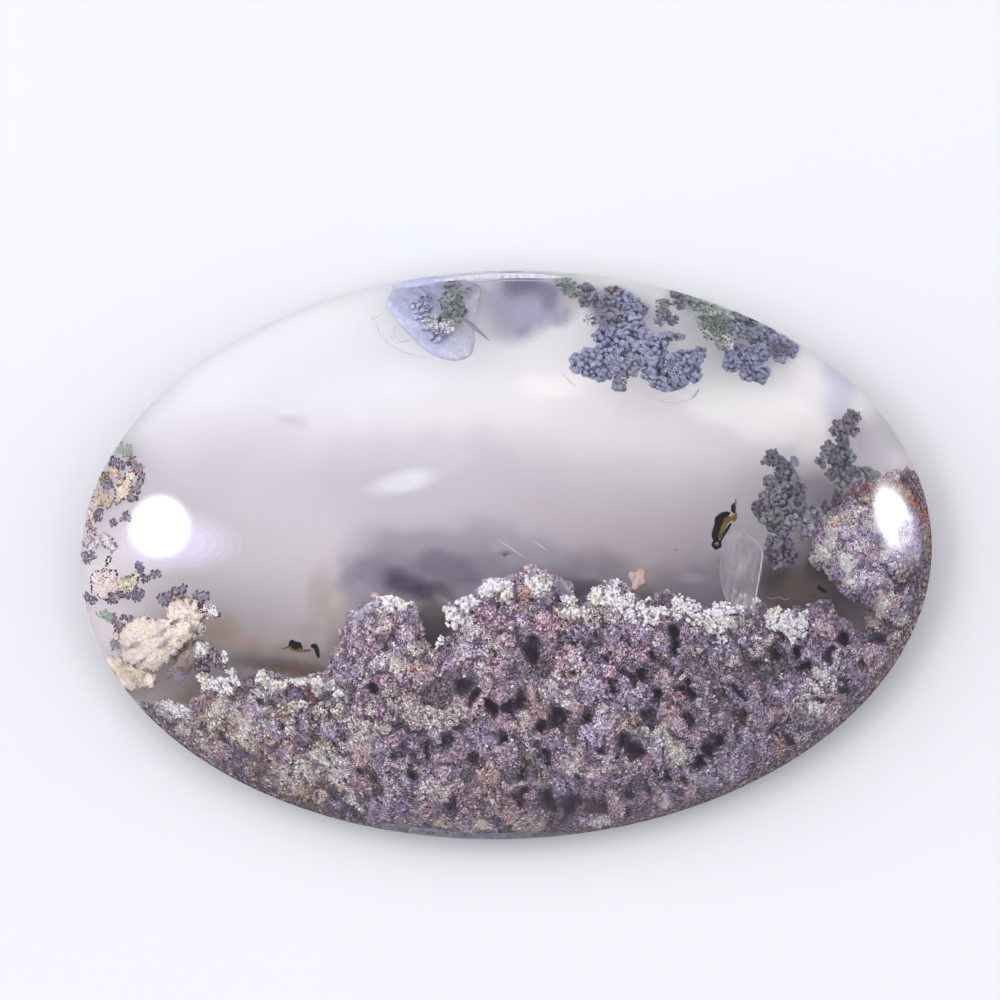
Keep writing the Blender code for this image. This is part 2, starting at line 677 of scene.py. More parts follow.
def add_clear_body():
    """The stone's own form, turned finer than the CAD model and shaded smooth."""
    rings, steps, edge_rings = 56, 256, 6
    foot_cos, foot_sin = math.cos(DOME_FOOT_ANGLE), math.sin(DOME_FOOT_ANGLE)
    profile = []
    for ring in range(rings + 1):
        angle = math.pi / 2 - ring / rings * (math.pi / 2 - DOME_FOOT_ANGLE)
        height = GIRDLE_TOP + (HEIGHT - GIRDLE_TOP) * (math.sin(angle) - foot_sin) / (1 - foot_sin)
        profile.append((HALF_LENGTH * math.cos(angle) / foot_cos, height))
    profile[0] = (0.0, HEIGHT)
    for ring in range(edge_rings + 1):
        angle = math.pi / 2 * ring / edge_rings
        radius = HALF_LENGTH - BACK_BEVEL * (1 - math.cos(angle))
        profile.append((radius, BACK_BEVEL * (1 - math.sin(angle))))
    profile.append((0.0, 0.0))

    mesh = bpy.data.meshes.new("clear_stone")
    edges = [(index, index + 1) for index in range(len(profile) - 1)]
    mesh.from_pydata([(radius, 0, height) for radius, height in profile], edges, [])
    body = new_piece("clear_stone", mesh, stone_material())
    turn = body.modifiers.new("turn", "SCREW")
    turn.steps = turn.render_steps = steps
    turn.use_merge_vertices = True
    turn.merge_threshold = 0.001 * MM
    turn.use_smooth_shade = True
    depsgraph = bpy.context.evaluated_depsgraph_get()
    turned = bpy.data.meshes.new_from_object(body.evaluated_get(depsgraph))
    turned.transform(Matrix.Diagonal((1, HALF_WIDTH / HALF_LENGTH, 1, 1)))
    turned.set_sharp_from_angle(angle=math.radians(25))
    body.modifiers.clear()
    body.data = turned
    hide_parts("cabochon")
    return body


# The milky layer at the back, seen through the clear window

# The window's colour from top to bottom, on its left and on its right: painted light at the top, painted
# shade towards the moss bed
WINDOW_LEFT = [
    (290, (247, 247, 254)), (350, (239, 239, 250)), (410, (236, 234, 245)), (440, (226, 221, 233)),
    (470, (220, 213, 226)), (500, (216, 208, 220)), (530, (213, 205, 216)), (560, (212, 204, 214)),
    (590, (205, 197, 206)), (640, (188, 178, 182)), (700, (160, 150, 155)),
]
WINDOW_RIGHT = [
    (290, (247, 245, 252)), (350, (244, 241, 247)), (390, (240, 236, 242)), (420, (229, 224, 231)),
    (450, (220, 215, 223)), (480, (207, 200, 208)), (510, (197, 188, 196)), (540, (186, 177, 187)),
    (570, (163, 154, 165)), (600, (138, 129, 137)), (700, (112, 103, 112)),
]

# Blurred growths deep in the stone, with some painted light and shade on the milky layer: x, y, half width,
# half height, colour, strength
DEEP_PATCHES = [
    (518, 308, 42, 34, (160, 158, 186), 0.85), (514, 292, 18, 15, (112, 108, 140), 0.8),
    (536, 300, 12, 12, (126, 124, 158), 0.6), (514, 318, 7, 7, (178, 178, 210), 0.8),
    (527, 314, 7, 6, (180, 180, 212), 0.8), (538, 322, 6, 7, (176, 176, 208), 0.8),
    (493, 296, 7, 7, (188, 190, 218), 0.7), (522, 330, 9, 5, (150, 150, 184), 0.7),
    (552, 318, 8, 10, (150, 150, 180), 0.6), (477, 299, 9, 14, (224, 212, 214), 0.8),
    (560, 300, 13, 17, (220, 206, 206), 0.8),
    (586, 306, 11, 22, (128, 128, 155), 0.8), (648, 318, 14, 24, (244, 240, 248), 0.7),
    (832, 388, 22, 36, (206, 206, 228), 0.8), (872, 440, 36, 30, (186, 179, 195), 0.7),
    (898, 420, 20, 26, (196, 200, 204), 0.6), (862, 405, 14, 8, (234, 230, 240), 0.7),
    (470, 488, 170, 66, (184, 177, 190), 0.4),
    # Painted shade: the first oval below darkens the layer broadly just above the moss bed
    (455, 562, 112, 46, (142, 135, 152), 0.62), (430, 545, 50, 20, (158, 151, 166), 0.5),
    (395, 585, 56, 34, (132, 122, 144), 0.75),
    (437, 632, 20, 30, (106, 96, 102), 0.85), (456, 570, 40, 20, (120, 113, 134), 0.85),
    # Painted shade: the four dark ovals on the next two lines fill a deep hollow in the moss
    (403, 578, 15, 13, (84, 76, 100), 0.7), (414, 590, 22, 12, (66, 58, 82), 0.75),
    (428, 600, 16, 12, (60, 52, 76), 0.8), (450, 593, 20, 8, (84, 76, 98), 0.75),
    # Painted light: the white ovals on the next two lines lighten the layer where the clusters above shade it
    (722, 396, 52, 28, (255, 253, 255), 0.75), (778, 418, 46, 26, (255, 252, 255), 0.75),
    (811, 440, 20, 30, (255, 252, 255), 0.9), (560, 384, 40, 14, (255, 252, 255), 0.6),
    (470, 590, 18, 10, (150, 143, 160), 0.6), (496, 560, 26, 18, (152, 145, 162), 0.7),
    (514, 551, 14, 9, (172, 170, 188), 0.7), (552, 560, 30, 9, (166, 162, 180), 0.6),
    (556, 576, 54, 20, (152, 145, 162), 0.7), (580, 592, 14, 8, (84, 74, 98), 0.7),
    (604, 572, 30, 24, (132, 122, 134), 0.5), (668, 572, 26, 12, (162, 150, 154), 0.6),
    (700, 590, 40, 20, (132, 124, 146), 0.75), (682, 584, 16, 6, (170, 163, 180), 0.6),
    (718, 566, 14, 20, (132, 123, 126), 0.7), (742, 566, 19, 42, (184, 178, 180), 0.8),
    (735, 586, 13, 12, (122, 106, 84), 0.7), (806, 588, 62, 28, (106, 92, 88), 0.92),
    (776, 566, 22, 26, (74, 64, 76), 0.8), (802, 545, 14, 20, (160, 150, 150), 0.6),
    (824, 494, 26, 20, (150, 142, 160), 0.65), (850, 612, 40, 16, (88, 76, 84), 0.8),
    (247, 644, 16, 10, (204, 168, 160), 0.8), (222, 630, 22, 20, (186, 164, 152), 0.85),
    (321, 600, 20, 32, (184, 175, 170), 0.7), (284, 654, 54, 16, (158, 146, 144), 0.75),
    (290, 668, 62, 10, (104, 92, 84), 0.75), (262, 662, 30, 10, (126, 116, 116), 0.6),
    (293, 674, 26, 6, (126, 84, 68), 0.75), (335, 640, 14, 24, (166, 158, 154), 0.6),
    (348, 606, 15, 22, (196, 189, 174), 0.7), (362, 582, 20, 14, (160, 152, 170), 0.75),
    (384, 580, 18, 14, (148, 139, 162), 0.8), (372, 598, 14, 8, (172, 165, 184), 0.7),
    (352, 566, 14, 8, (176, 169, 186), 0.6), (398, 566, 16, 10, (150, 142, 162), 0.6),
    (210, 700, 46, 14, (126, 112, 98), 0.8), (180, 680, 26, 18, (168, 152, 160), 0.6),
    (116, 600, 30, 60, (214, 206, 216), 0.6), (286, 426, 15, 8, (214, 210, 222), 0.8),
    (450, 410, 90, 20, (232, 227, 234), 0.4), (404, 452, 60, 16, (214, 210, 223), 0.4),
]


def stops_at(positions, stops):
    """Colours between the stops of a vertical run of colour."""
    at = [position for position, _ in stops]
    colours = np.array([linear(*colour) for _, colour in stops])
    return np.stack([np.interp(positions, at, colours[:, channel]) for channel in range(3)], axis=-1)


def window_tints(px, py):
    """The soft colours of the milky layer, as they show from above."""
    wave_x = px + 14 * (noise(px, py, 26, 21) - 0.5) + 26 * (noise(px, py, 60, 22) - 0.5)
    wave_y = py + 14 * (noise(px, py, 24, 23) - 0.5) + 14 * (noise(px, py, 70, 24) - 0.5)
    right = smoothstep(300, 640, px)[:, None]
    tints = blend(stops_at(wave_y, WINDOW_LEFT), stops_at(wave_y, WINDOW_RIGHT), right)
    for *oval, colour, strength in DEEP_PATCHES:
        cover = strength * (1 - smoothstep(0.45, 1.25, oval_reach(wave_x, wave_y, *oval)))
        tints = blend(tints, linear(*colour), cover[:, None])
    near_bed = smoothstep(-70, -8, bed_inset(px, py)) * smoothstep(500, 560, py)
    clouds = 0.6 * noise(px, py, 17, 25) + 0.4 * noise(px, py, 9, 26) - 0.5
    return tints * (1 + 0.34 * near_bed * clouds)[:, None]


def add_milk():
    """A thin cloudy layer over the back. It ends where the moss bed begins."""
    rings, steps = 68, 300
    shares = np.linspace(0.005, 0.996, rings)
    angles = np.linspace(0, 2 * math.pi, steps + 1)
    share, angle = np.meshgrid(shares, angles, indexing="ij")
    px, py = from_oval(share.ravel(), angle.ravel())
    height = (0.42 + 0.2 * noise(px, py, 80, 31)) * MM
    top = down_to(px, py, height)
    skirt = top.reshape(rings, steps + 1, 3)[-1].copy()
    reach = np.hypot(skirt[:, 0] / HALF_LENGTH, skirt[:, 1] / HALF_WIDTH)[:, None]
    skirt[:, :2] *= 0.985 / reach
    top = np.concatenate([top, skirt])
    px, py = np.concatenate([px, px[-steps - 1:]]), np.concatenate([py, py[-steps - 1:]])
    low = top.copy()
    low[:, 2] = 0.12 * MM
    shape = (rings + 1, steps + 1)
    hidden = (bed_inset(px, py) > 26).reshape(shape)
    cells = ~(hidden[:-1, :-1] & hidden[1:, :-1] & hidden[:-1, 1:] & hidden[1:, 1:])
    # Painted light: the layer is lightened towards the top and near the rim, most near the lower rim
    top_side, low_side = 1 - smoothstep(370, 490, py), smoothstep(400, 580, py)
    lift = 1 + (0.17 + 0.07 * smoothstep(350, 550, px)) * top_side
    lift *= 1 + (0.14 + 0.86 * low_side) * smoothstep(0.74, 1.0, oval_share(px, py))
    tints = window_tints(px, py) * lift[:, None] * MILK_GAIN
    add_slab("milky_layer", MILK, top, low, shape, cells, tints, wrap=True)


# The moss bed

BED_OUTLINE = np.array([
    (110, 716), (139, 703), (170, 698), (192, 704), (206, 694), (236, 688), (250, 679), (264, 672),
    (287, 677), (319, 677), (330, 668), (337, 652), (345, 634), (352, 620), (360, 607), (376, 599),
    (392, 596), (408, 601), (417, 608), (422, 622), (421, 636), (430, 649), (440, 655), (446, 647),
    (456, 637), (452, 620), (455, 604), (468, 595), (484, 586), (502, 576), (534, 568), (552, 573),
    (567, 583), (573, 596), (586, 598), (601, 585), (622, 585), (634, 592), (650, 604), (656, 593),
    (669, 590),
    (676, 603), (686, 597), (700, 609), (716, 605), (735, 605), (752, 605), (768, 610), (788, 610),
    (810, 606), (829, 605), (834, 620), (855, 628), (868, 616), (858, 602), (834, 592), (829, 573),
    (810, 562), (811, 548), (816, 530), (827, 514), (845, 495), (862, 482), (882, 474), (903, 470),
    (928, 482), (980, 500), (990, 900), (60, 900),
], float)

# Gaps between the lumps, darkened as painted shade: x, y, radius, and how dark they are, with all above
# FULL_DARKNESS the same
FULL_DARKNESS = 1.6
CREVICES = [
    (576, 598, 9, 1.6), (528, 651, 13, 1.4), (466, 684, 10, 1.5), (474, 697, 8, 1.4), (385, 646, 7, 1.1),
    (375, 689, 7, 1.2), (390, 636, 6, 1.0), (558, 602, 5, 0.9), (575, 673, 6, 1.0), (494, 706, 9, 1.6),
    (508, 711, 12, 1.9), (520, 702, 8, 1.6), (556, 714, 13, 1.9), (546, 724, 8, 1.6), (502, 741, 8, 1.3),
    (446, 738, 8, 1.3), (415, 776, 9, 1.3), (423, 748, 7, 1.2), (545, 755, 8, 1.3), (453, 804, 8, 1.1),
    (380, 793, 6, 1.0), (268, 720, 5, 0.8), (283, 727, 5, 0.8), (301, 715, 5, 0.8), (228, 744, 6, 0.8),
    (262, 760, 5, 0.7), (330, 715, 5, 0.8), (345, 735, 6, 0.9), (360, 765, 5, 0.9), (400, 755, 6, 1.0),
    (670, 636, 9, 1.8), (674, 646, 8, 1.7), (652, 656, 8, 1.5), (640, 670, 9, 1.5), (628, 676, 7, 1.4),
    (610, 686, 8, 1.3), (687, 690, 9, 1.6), (659, 693, 7, 1.5), (759, 662, 7, 1.3), (799, 652, 7, 1.4),
    (803, 668, 7, 1.5), (774, 655, 6, 1.2), (701, 605, 5, 0.9), (829, 655, 7, 1.2), (840, 640, 12, 1.6),
    (858, 622, 12, 1.6), (622, 744, 11, 2.0), (634, 752, 11, 2.0), (698, 762, 9, 1.7), (707, 750, 10, 1.7),
    (714, 738, 9, 1.6), (650, 712, 10, 1.2), (738, 714, 14, 1.1), (666, 772, 8, 1.3), (630, 790, 8, 1.2),
    (772, 726, 7, 1.1), (798, 758, 7, 1.2), (790, 742, 6, 1.2), (774, 768, 6, 0.9), (548, 800, 14, 1.4),
    (570, 803, 16, 1.5), (520, 795, 10, 1.2), (595, 806, 14, 1.2), (740, 690, 7, 1.1), (880, 640, 8, 1.2),
    (470, 760, 6, 0.9), (585, 720, 7, 1.1), (600, 745, 6, 1.0), (520, 775, 6, 0.9), (690, 720, 7, 1.1),
    (845, 690, 8, 1.2), (820, 700, 6, 1.0), (862, 660, 8, 1.2), (570, 640, 6, 0.9), (610, 655, 6, 1.0),
]

# Lumps that stand out: x, y, radius, colour
NAMED_LUMPS = [
    (434, 719, 14, "cream"), (382, 722, 12, "cream"), (386, 721, 6, "olive_grey"),
    (566, 693, 15, "pale_cream"), (548, 694, 9, "cream"), (529, 713, 9, "pale_cream"),
    (514, 723, 8, "peach"), (630, 731, 7, "pale_cream"),
    (820, 674, 11, "pale_cream"), (826, 686, 11, "pale_cream"), (797, 727, 15, "pale_lavender"),
    (779, 753, 12, "tan"), (346, 803, 14, "lime_cream"), (427, 784, 9, "lime_cream"), (318, 797, 6, "peach"),
    (485, 679, 11, "pink"), (534, 688, 9, "pink"), (500, 702, 14, "mauve"), (597, 664, 17, "mauve"),
    (625, 660, 16, "mauve"), (686, 676, 10, "pink"), (695, 649, 8, "cream"), (714, 660, 12, "cream"),
    (664, 745, 14, "cream"), (652, 732, 10, "cream"), (676, 752, 12, "cream"), (612, 772, 16, "pink"),
    (594, 774, 12, "pink"), (634, 798, 12, "mauve"), (818, 711, 11, "white"), (305, 768, 18, "cream"),
    (284, 772, 13, "pale_cream"), (325, 758, 12, "cream"), (388, 700, 18, "cream"), (372, 706, 12, "cream"),
    (363, 752, 12, "pink"), (400, 665, 14, "cream"), (367, 612, 12, "pale_lavender"),
    (395, 607, 13, "pale_cream"), (410, 622, 12, "lavender"), (385, 628, 12, "pink"), (362, 640, 14, "mauve"),
    (540, 583, 14, "cream"), (524, 590, 12, "peach"), (558, 590, 12, "grey"), (660, 598, 10, "lavender"),
    (820, 614, 10, "lavender"), (745, 626, 9, "rust"), (766, 624, 8, "rust"), (480, 615, 16, "mauve"),
    (505, 625, 18, "mauve"), (545, 622, 20, "pink"), (500, 645, 16, "pink"), (575, 630, 16, "lavender"),
    (610, 632, 14, "grey"), (690, 790, 14, "pink"), (733, 783, 9, "cream"), (655, 800, 13, "pink"),
    (720, 800, 12, "pink"), (886, 602, 13, "pale_cream"), (872, 590, 10, "pink"), (870, 625, 12, "cream"),
    (310, 696, 8, "plum"), (296, 694, 10, "violet"), (330, 686, 7, "cream"), (350, 688, 5, "olive"),
    (240, 715, 12, "cream"), (222, 722, 14, "olive_grey"), (205, 735, 12, "olive_grey"),
    (255, 735, 14, "cream"), (240, 762, 16, "violet"), (264, 768, 12, "violet"), (298, 742, 12, "violet"),
    (185, 716, 9, "white"), (275, 690, 10, "pale_cream"), (258, 688, 8, "pale_cream"),
    (320, 690, 8, "white"), (345, 698, 6, "pale_cream"), (862, 545, 14, "pale_pink"),
    (845, 560, 14, "white"), (835, 535, 11, "pale_pink"), (850, 520, 12, "cream"),
    (872, 565, 12, "violet"), (855, 582, 10, "white"), (838, 585, 7, "white"), (890, 556, 10, "white"),
    (905, 575, 12, "olive_grey"), (915, 560, 8, "olive_grey"), (900, 600, 10, "pink"),
    (898, 645, 12, "cream"), (875, 522, 12, "pale_lavender"), (862, 500, 11, "tan"),
    (895, 560, 10, "pale_lavender"),
    (822, 552, 9, "peach"), (830, 520, 7, "orange"), (848, 498, 7, "orange"), (866, 487, 8, "orange"),
    (884, 483, 8, "orange"), (902, 487, 9, "rust"), (914, 500, 9, "orange"), (921, 513, 7, "orange"),
    (926, 545, 7, "brown"), (440, 820, 16, "cream"), (400, 812, 14, "lavender"), (480, 826, 14, "cream"),
    (526, 826, 10, "cream"), (600, 822, 9, "white"), (520, 786, 9, "cream"), (545, 785, 9, "cream"),
]

# The rectangle around the bed, and where its left ends and its right starts, in pixels
BED_BOX = (90, 460, 950, 850)
LEFT_END = 330
RIGHT_START = 640

# The share of each colour in the bed's left, middle and right
BED_MIX = {
    "left": {"cream": 5, "pale_cream": 2, "olive_grey": 4, "grey": 2, "mauve": 4, "lavender": 3, "tan": 2},
    "middle": {"lavender": 4, "mauve": 6, "pink": 4, "cream": 3, "pale_lavender": 2, "tan": 1, "grey": 3},
    "right": {"lavender": 6, "pale_lavender": 3, "pink": 3, "mauve": 5, "cream": 2, "grey": 4, "violet": 1},
}

# Smooth lumps with few ring cells: x, y, half width, half height
SMOOTH_PATCHES = [
    (797, 728, 17, 13), (607, 816, 30, 16), (500, 702, 18, 13), (612, 662, 34, 16), (820, 680, 15, 18),
    (346, 803, 14, 13), (427, 784, 9, 9), (779, 753, 13, 11), (372, 582, 30, 16), (440, 780, 30, 12),
    (620, 690, 16, 10), (760, 700, 30, 14), (700, 700, 14, 12), (590, 735, 16, 10), (470, 740, 14, 8),
]

# Places full of red cores: x, y, half width, half height
RED_PATCHES = [
    (490, 618, 34, 18), (538, 620, 12, 8), (606, 625, 16, 7), (484, 676, 12, 14), (534, 690, 9, 12),
    (370, 748, 20, 12), (684, 674, 13, 8), (756, 624, 18, 10), (375, 802, 9, 9), (430, 650, 30, 16),
    (590, 660, 24, 12), (668, 753, 8, 7), (520, 590, 26, 12), (640, 790, 30, 14), (312, 696, 10, 9),
    (610, 700, 22, 14), (730, 690, 12, 9), (450, 700, 22, 12), (850, 640, 16, 12), (480, 650, 30, 16),
]

# Places lighter or darker than the rest of the bed: x, y, half width, half height, how many times
LIGHT_PATCHES = [
    (850, 545, 46, 44, 2.0), (824, 545, 14, 30, 1.35), (590, 690, 240, 110, 0.9), (700, 690, 110, 70, 0.95),
    (250, 730, 70, 42, 1.22), (312, 768, 46, 26, 1.2), (560, 692, 34, 16, 1.2),
    (820, 680, 20, 20, 1.3), (664, 745, 26, 22, 1.2), (430, 722, 24, 18, 1.25), (625, 775, 40, 18, 1.15),
]


def colours_by_mix(count, mix):
    """Colours drawn from a mix of named colours with their shares."""
    names = list(mix)
    shares = np.array([mix[name] for name in names], float)
    palette = np.array([COLOURS[name] for name in names])
    return palette[random.choice(len(names), count, p=shares / shares.sum())]


def lump_field(pitch, low_radius, high_radius):
    """Round lumps all over the bed and a colour for each, by where they lie."""
    px, py = spread_points(80, 460, 950, 850, pitch)
    lumps = list(zip(px, py, random.uniform(low_radius, high_radius, px.size)))
    left, middle, right = (colours_by_mix(px.size, BED_MIX[side]) for side in ("left", "middle", "right"))
    tints = np.where((px < LEFT_END)[:, None], left, middle)
    return lumps, np.where((px > RIGHT_START)[:, None], right, tints)


BIG_LUMPS, BIG_TINTS = lump_field(32, 15, 24)
BIG_LUMPS = BIG_LUMPS + [lump[:3] for lump in NAMED_LUMPS]
BIG_TINTS = np.concatenate([BIG_TINTS, [COLOURS[lump[3]] for lump in NAMED_LUMPS]])
FIRST_NAMED = len(BIG_LUMPS) - len(NAMED_LUMPS)
SMALL_LUMPS, SMALL_TINTS = lump_field(11.5, 5.5, 8)


def bed_inset(px, py):
    """The distance in pixels from the bed's ragged edge, above zero inside the bed."""
    ragged = (noise(px, py, 9, 3) - 0.5) * 8 + (noise(px, py, 20, 4) - 0.5) * 6
    return edge_distance(px, py, BED_OUTLINE) + ragged


def bed_surface(px, py):
    """Of the moss's front: its depth, how open to light it is, how much a gap it is, and its lumps."""
    rolling = 0.45 + 0.8 * noise(px, py, 95, 1) + 0.3 * noise(px, py, 40, 2)
    warp_x = px + 12 * (noise(px, py, 14, 6) - 0.5) + 6 * (noise(px, py, 5, 7) - 0.5)
    warp_y = py + 12 * (noise(px, py, 13, 9) - 0.5) + 6 * (noise(px, py, 5, 10) - 0.5)
    gap = np.zeros_like(px)
    for x, y, radius, painted_darkness in CREVICES:
        reach = np.hypot(warp_x - x, warp_y - y) / radius
        gap = np.maximum(gap, min(painted_darkness / FULL_DARKNESS, 1) * (1 - smoothstep(0.35, 1.25, reach)))
    big, big_clear, big_owner = lump_pattern(warp_x, warp_y, BIG_LUMPS)
    small, small_clear, small_owner = lump_pattern(warp_x, warp_y, SMALL_LUMPS)
    big_ridge, small_ridge = smoothstep(0, 0.2, big_clear), smoothstep(0, 0.3, small_clear)
    lumps = 0.44 * big + 0.12 * big_ridge + 0.17 * small + 0.07 * small_ridge
    depth = rolling + 0.75 - lumps * (1 - 0.6 * gap) + 0.6 * gap
    depth += 1.2 * (1 - smoothstep(-2, 16, bed_inset(px, py)))
    rim = smoothstep(0.90, 1.0, oval_share(px, py))
    depth = (depth * (1 - 0.7 * rim) + 0.02) * MM
    # Painted light and shade for the bed's colours: lump tops and ridges lit, the hollows between them shaded
    light = (0.36 + 0.38 * big + 0.38 * small) * (0.55 + 0.45 * big_ridge) * (0.64 + 0.36 * small_ridge)
    return depth, light, gap, big_owner, small_owner


def bed_mask(px, py):
    """Which points lie in the bed and inside the stone."""
    return (bed_inset(px, py) > 0) & (oval_share(px, py) < 0.992)


def bed_tints(px, py, light, gap, big_owner, small_owner):
    """The colour of each grain of the bed, by the lumps it sits on, by place and by chance, with painted
    light and shade by how open the moss is to light.
    """
    named = (big_owner >= FIRST_NAMED)[:, None]
    tints = blend(SMALL_TINTS[small_owner], BIG_TINTS[big_owner], np.where(named, 0.85, 0.45))
    plain = np.maximum(in_ovals(px, py, SMOOTH_PATCHES), 1 - smoothstep(0.3, 0.62, light))
    sparkle = random.random(px.size)
    tints = np.where((sparkle > 0.96 + 0.04 * plain)[:, None], COLOURS["pale_cream"], tints)
    tints = np.where((sparkle < 0.04 - 0.04 * plain)[:, None], COLOURS["plum"], tints)
    grey = tints.mean(axis=1, keepdims=True) * np.array([1.03, 0.96, 1.02])
    tints = tints * 0.84 + grey * 0.16
    # Painted shade: where the moss is little open to light, its colour turns towards a dull lavender
    painted_shade_share = 0.55 * (1 - smoothstep(0.3, 0.62, light))[:, None]
    tints = blend(tints, COLOURS["haze_and_shade"], painted_shade_share)
    # Painted light and shade: brighter where the moss is open to light, also mottled by noise and varied by
    # chance
    lift = (0.32 + 0.8 * np.clip(light, 0, 1.25)) * (0.8 + 0.4 * noise(px, py, 30, 12))
    lift *= 1 + random.uniform(-0.32, 0.28, px.size) * (1 - 0.7 * plain)
    for *oval, gain in LIGHT_PATCHES:
        lift *= 1 + (gain - 1) * (1 - smoothstep(0.5, 1.2, oval_reach(px, py, *oval)))
    # Painted shade in the crevices
    return blend(tints * lift[:, None], COLOURS["gap"], gap[:, None])


def in_ovals(px, py, ovals):
    """1 in the middle of any of the ovals, faded to 0 across its edge."""
    best = np.zeros_like(px)
    for oval in ovals:
        best = np.maximum(best, 1 - smoothstep(0.7, 1.3, oval_reach(px, py, *oval)))
    return best


def bed_normals(px, py):
    """The outward direction of the bed's front, from the slope of its depth."""
    step = 1.5
    slope_x = (bed_surface(px + step, py)[0] - bed_surface(px - step, py)[0]) / (2 * step * PIXEL)
    slope_y = (bed_surface(px, py - step)[0] - bed_surface(px, py + step)[0]) / (2 * step * PIXEL)
    steepness = 1.6
    return unit(np.stack([slope_x, slope_y, np.full_like(px, steepness)], axis=1))


def add_bed_front():
    """The ring cells and grains that face the viewer, in pieces from left to right."""
    px, py = spread_points(*BED_BOX, 2.35)
    kept = bed_mask(px, py) & (bed_surface(px, py)[2] < random.uniform(0.4, 0.8, px.size))
    px, py = px[kept], py[kept]
    depth, light, gap, big_owner, small_owner = bed_surface(px, py)
    depth = np.maximum(depth - random.uniform(0, 0.1, px.size) * MM, 0.06 * MM)
    tints = bed_tints(px, py, light, gap, big_owner, small_owner) * BED_GAIN
    centres, normals = inside(px, py, depth), bed_normals(px, py)
    flat_ways = unit(np.cross(normals, random.normal(size=normals.shape)))
    rough = 1 - in_ovals(px, py, SMOOTH_PATCHES)
    draw = random.random(px.size)
    ringed = draw < 0.4 * rough * smoothstep(0.3, 0.6, light) * (1 - gap)
    stranded = (draw > 1 - 0.3 * rough) & ~ringed
    redness = 0.05 + 0.6 * in_ovals(px, py, RED_PATCHES)
    # Each kind of grain: which ones, least and largest radius in mm, gain in colour, and their way
    kinds = {
        "cup": (ringed, 0.04, 0.078, 1.14, normals),
        "strand": (stranded, 0.03, 0.05, 1.12, flat_ways),
        "grain": (~ringed & ~stranded, 0.036, 0.068, 1.0, normals),
    }
    bounds = [0, 360, 520, 670, 1000]
    for index, (left, right) in enumerate(zip(bounds, bounds[1:])):
        part = (px >= left) & (px < right)
        for kind, (chosen, low, high, gain, along) in kinds.items():
            chosen = part & chosen
            radii = random.uniform(low, high, chosen.sum()) * MM
            add_grains(f"moss_bed_{kind}s_{index + 1}", kind, centres[chosen], radii, tints[chosen] * gain,
                       normals[chosen], redness=redness[chosen], along=along[chosen])


def add_bed_ground():
    """The ground between the grains, a closed body that reaches down to the back, darkened as painted shade.
    """
    pitch = 4
    least_thickness = 0.1 * MM
    # Painted shade: the ground is darker than the grains over it
    painted_darkness = 0.55
    low_x, low_y, high_x, high_y = BED_BOX
    columns, rows = np.arange(low_x, high_x, pitch, float), np.arange(low_y, high_y, pitch, float)
    gx, gy = np.meshgrid(columns, rows)
    px, py = gx.ravel(), gy.ravel()
    depth, light, gap, big_owner, small_owner = bed_surface(px, py)
    top = keep_under_polish(inside(px, py, depth + 0.07 * MM), 0.09 * MM)
    low = top.copy()
    low[:, 2] = (0.16 + 0.3 * noise(px, py, 18, 8)) * MM
    top[:, 2] = np.maximum(top[:, 2], low[:, 2] + least_thickness)
    kept = bed_mask(px, py).reshape(gx.shape)
    cells = kept[:-1, :-1] & kept[1:, :-1] & kept[:-1, 1:] & kept[1:, 1:]
    tints = bed_tints(px, py, light, gap, big_owner, small_owner)
    add_slab("moss_ground", GROUND, top, low, gx.shape, cells, tints * painted_darkness * BED_GAIN)


def add_bed_back():
    """Coarse grains over the bed's underside, and finer ones along the girdle."""
    px, py = spread_points(*BED_BOX, 7)
    kept = bed_mask(px, py)
    px, py = px[kept], py[kept]
    heights = (0.14 + 0.25 * noise(px, py, 18, 8)) * MM
    back = down_to(px, py, heights)
    down = all_facing([0.0, 0.0, -1.0], len(back))

    wall_count, first_angle, last_angle = 5600, math.radians(168), math.radians(374)
    angles = random.uniform(first_angle, last_angle, wall_count)
    wall_px, wall_py = from_oval(0.985, angles)
    angles = angles[bed_inset(wall_px, wall_py) > -4]
    radius = random.uniform(0.968, 0.988, angles.size)
    heights = random.uniform(0.15, 1.6, angles.size) * MM
    cos, sin = np.cos(angles), np.sin(angles)
    wall = np.stack([HALF_LENGTH * radius * cos, HALF_WIDTH * radius * sin, heights], axis=1)
    outward = unit(np.stack([cos / HALF_LENGTH, sin / HALF_WIDTH, np.zeros(angles.size)], axis=1))

    centres, normals = np.concatenate([back, wall]), np.concatenate([down, outward])
    tints = colours_by_mix(len(centres), BED_MIX["middle"]) * random.uniform(0.4, 1.0, (len(centres), 1))
    coarse = np.arange(len(centres)) < len(back)
    tints = np.where(coarse[:, None], tints, tints * 0.45 + COLOURS["olive_grey"] * 0.16)
    radii = random.uniform(0.1, 0.19, len(centres)) * np.where(coarse, 1, 0.5) * MM
    add_grains("moss_bed_back", "grain", centres, radii, tints * BED_GAIN, normals)


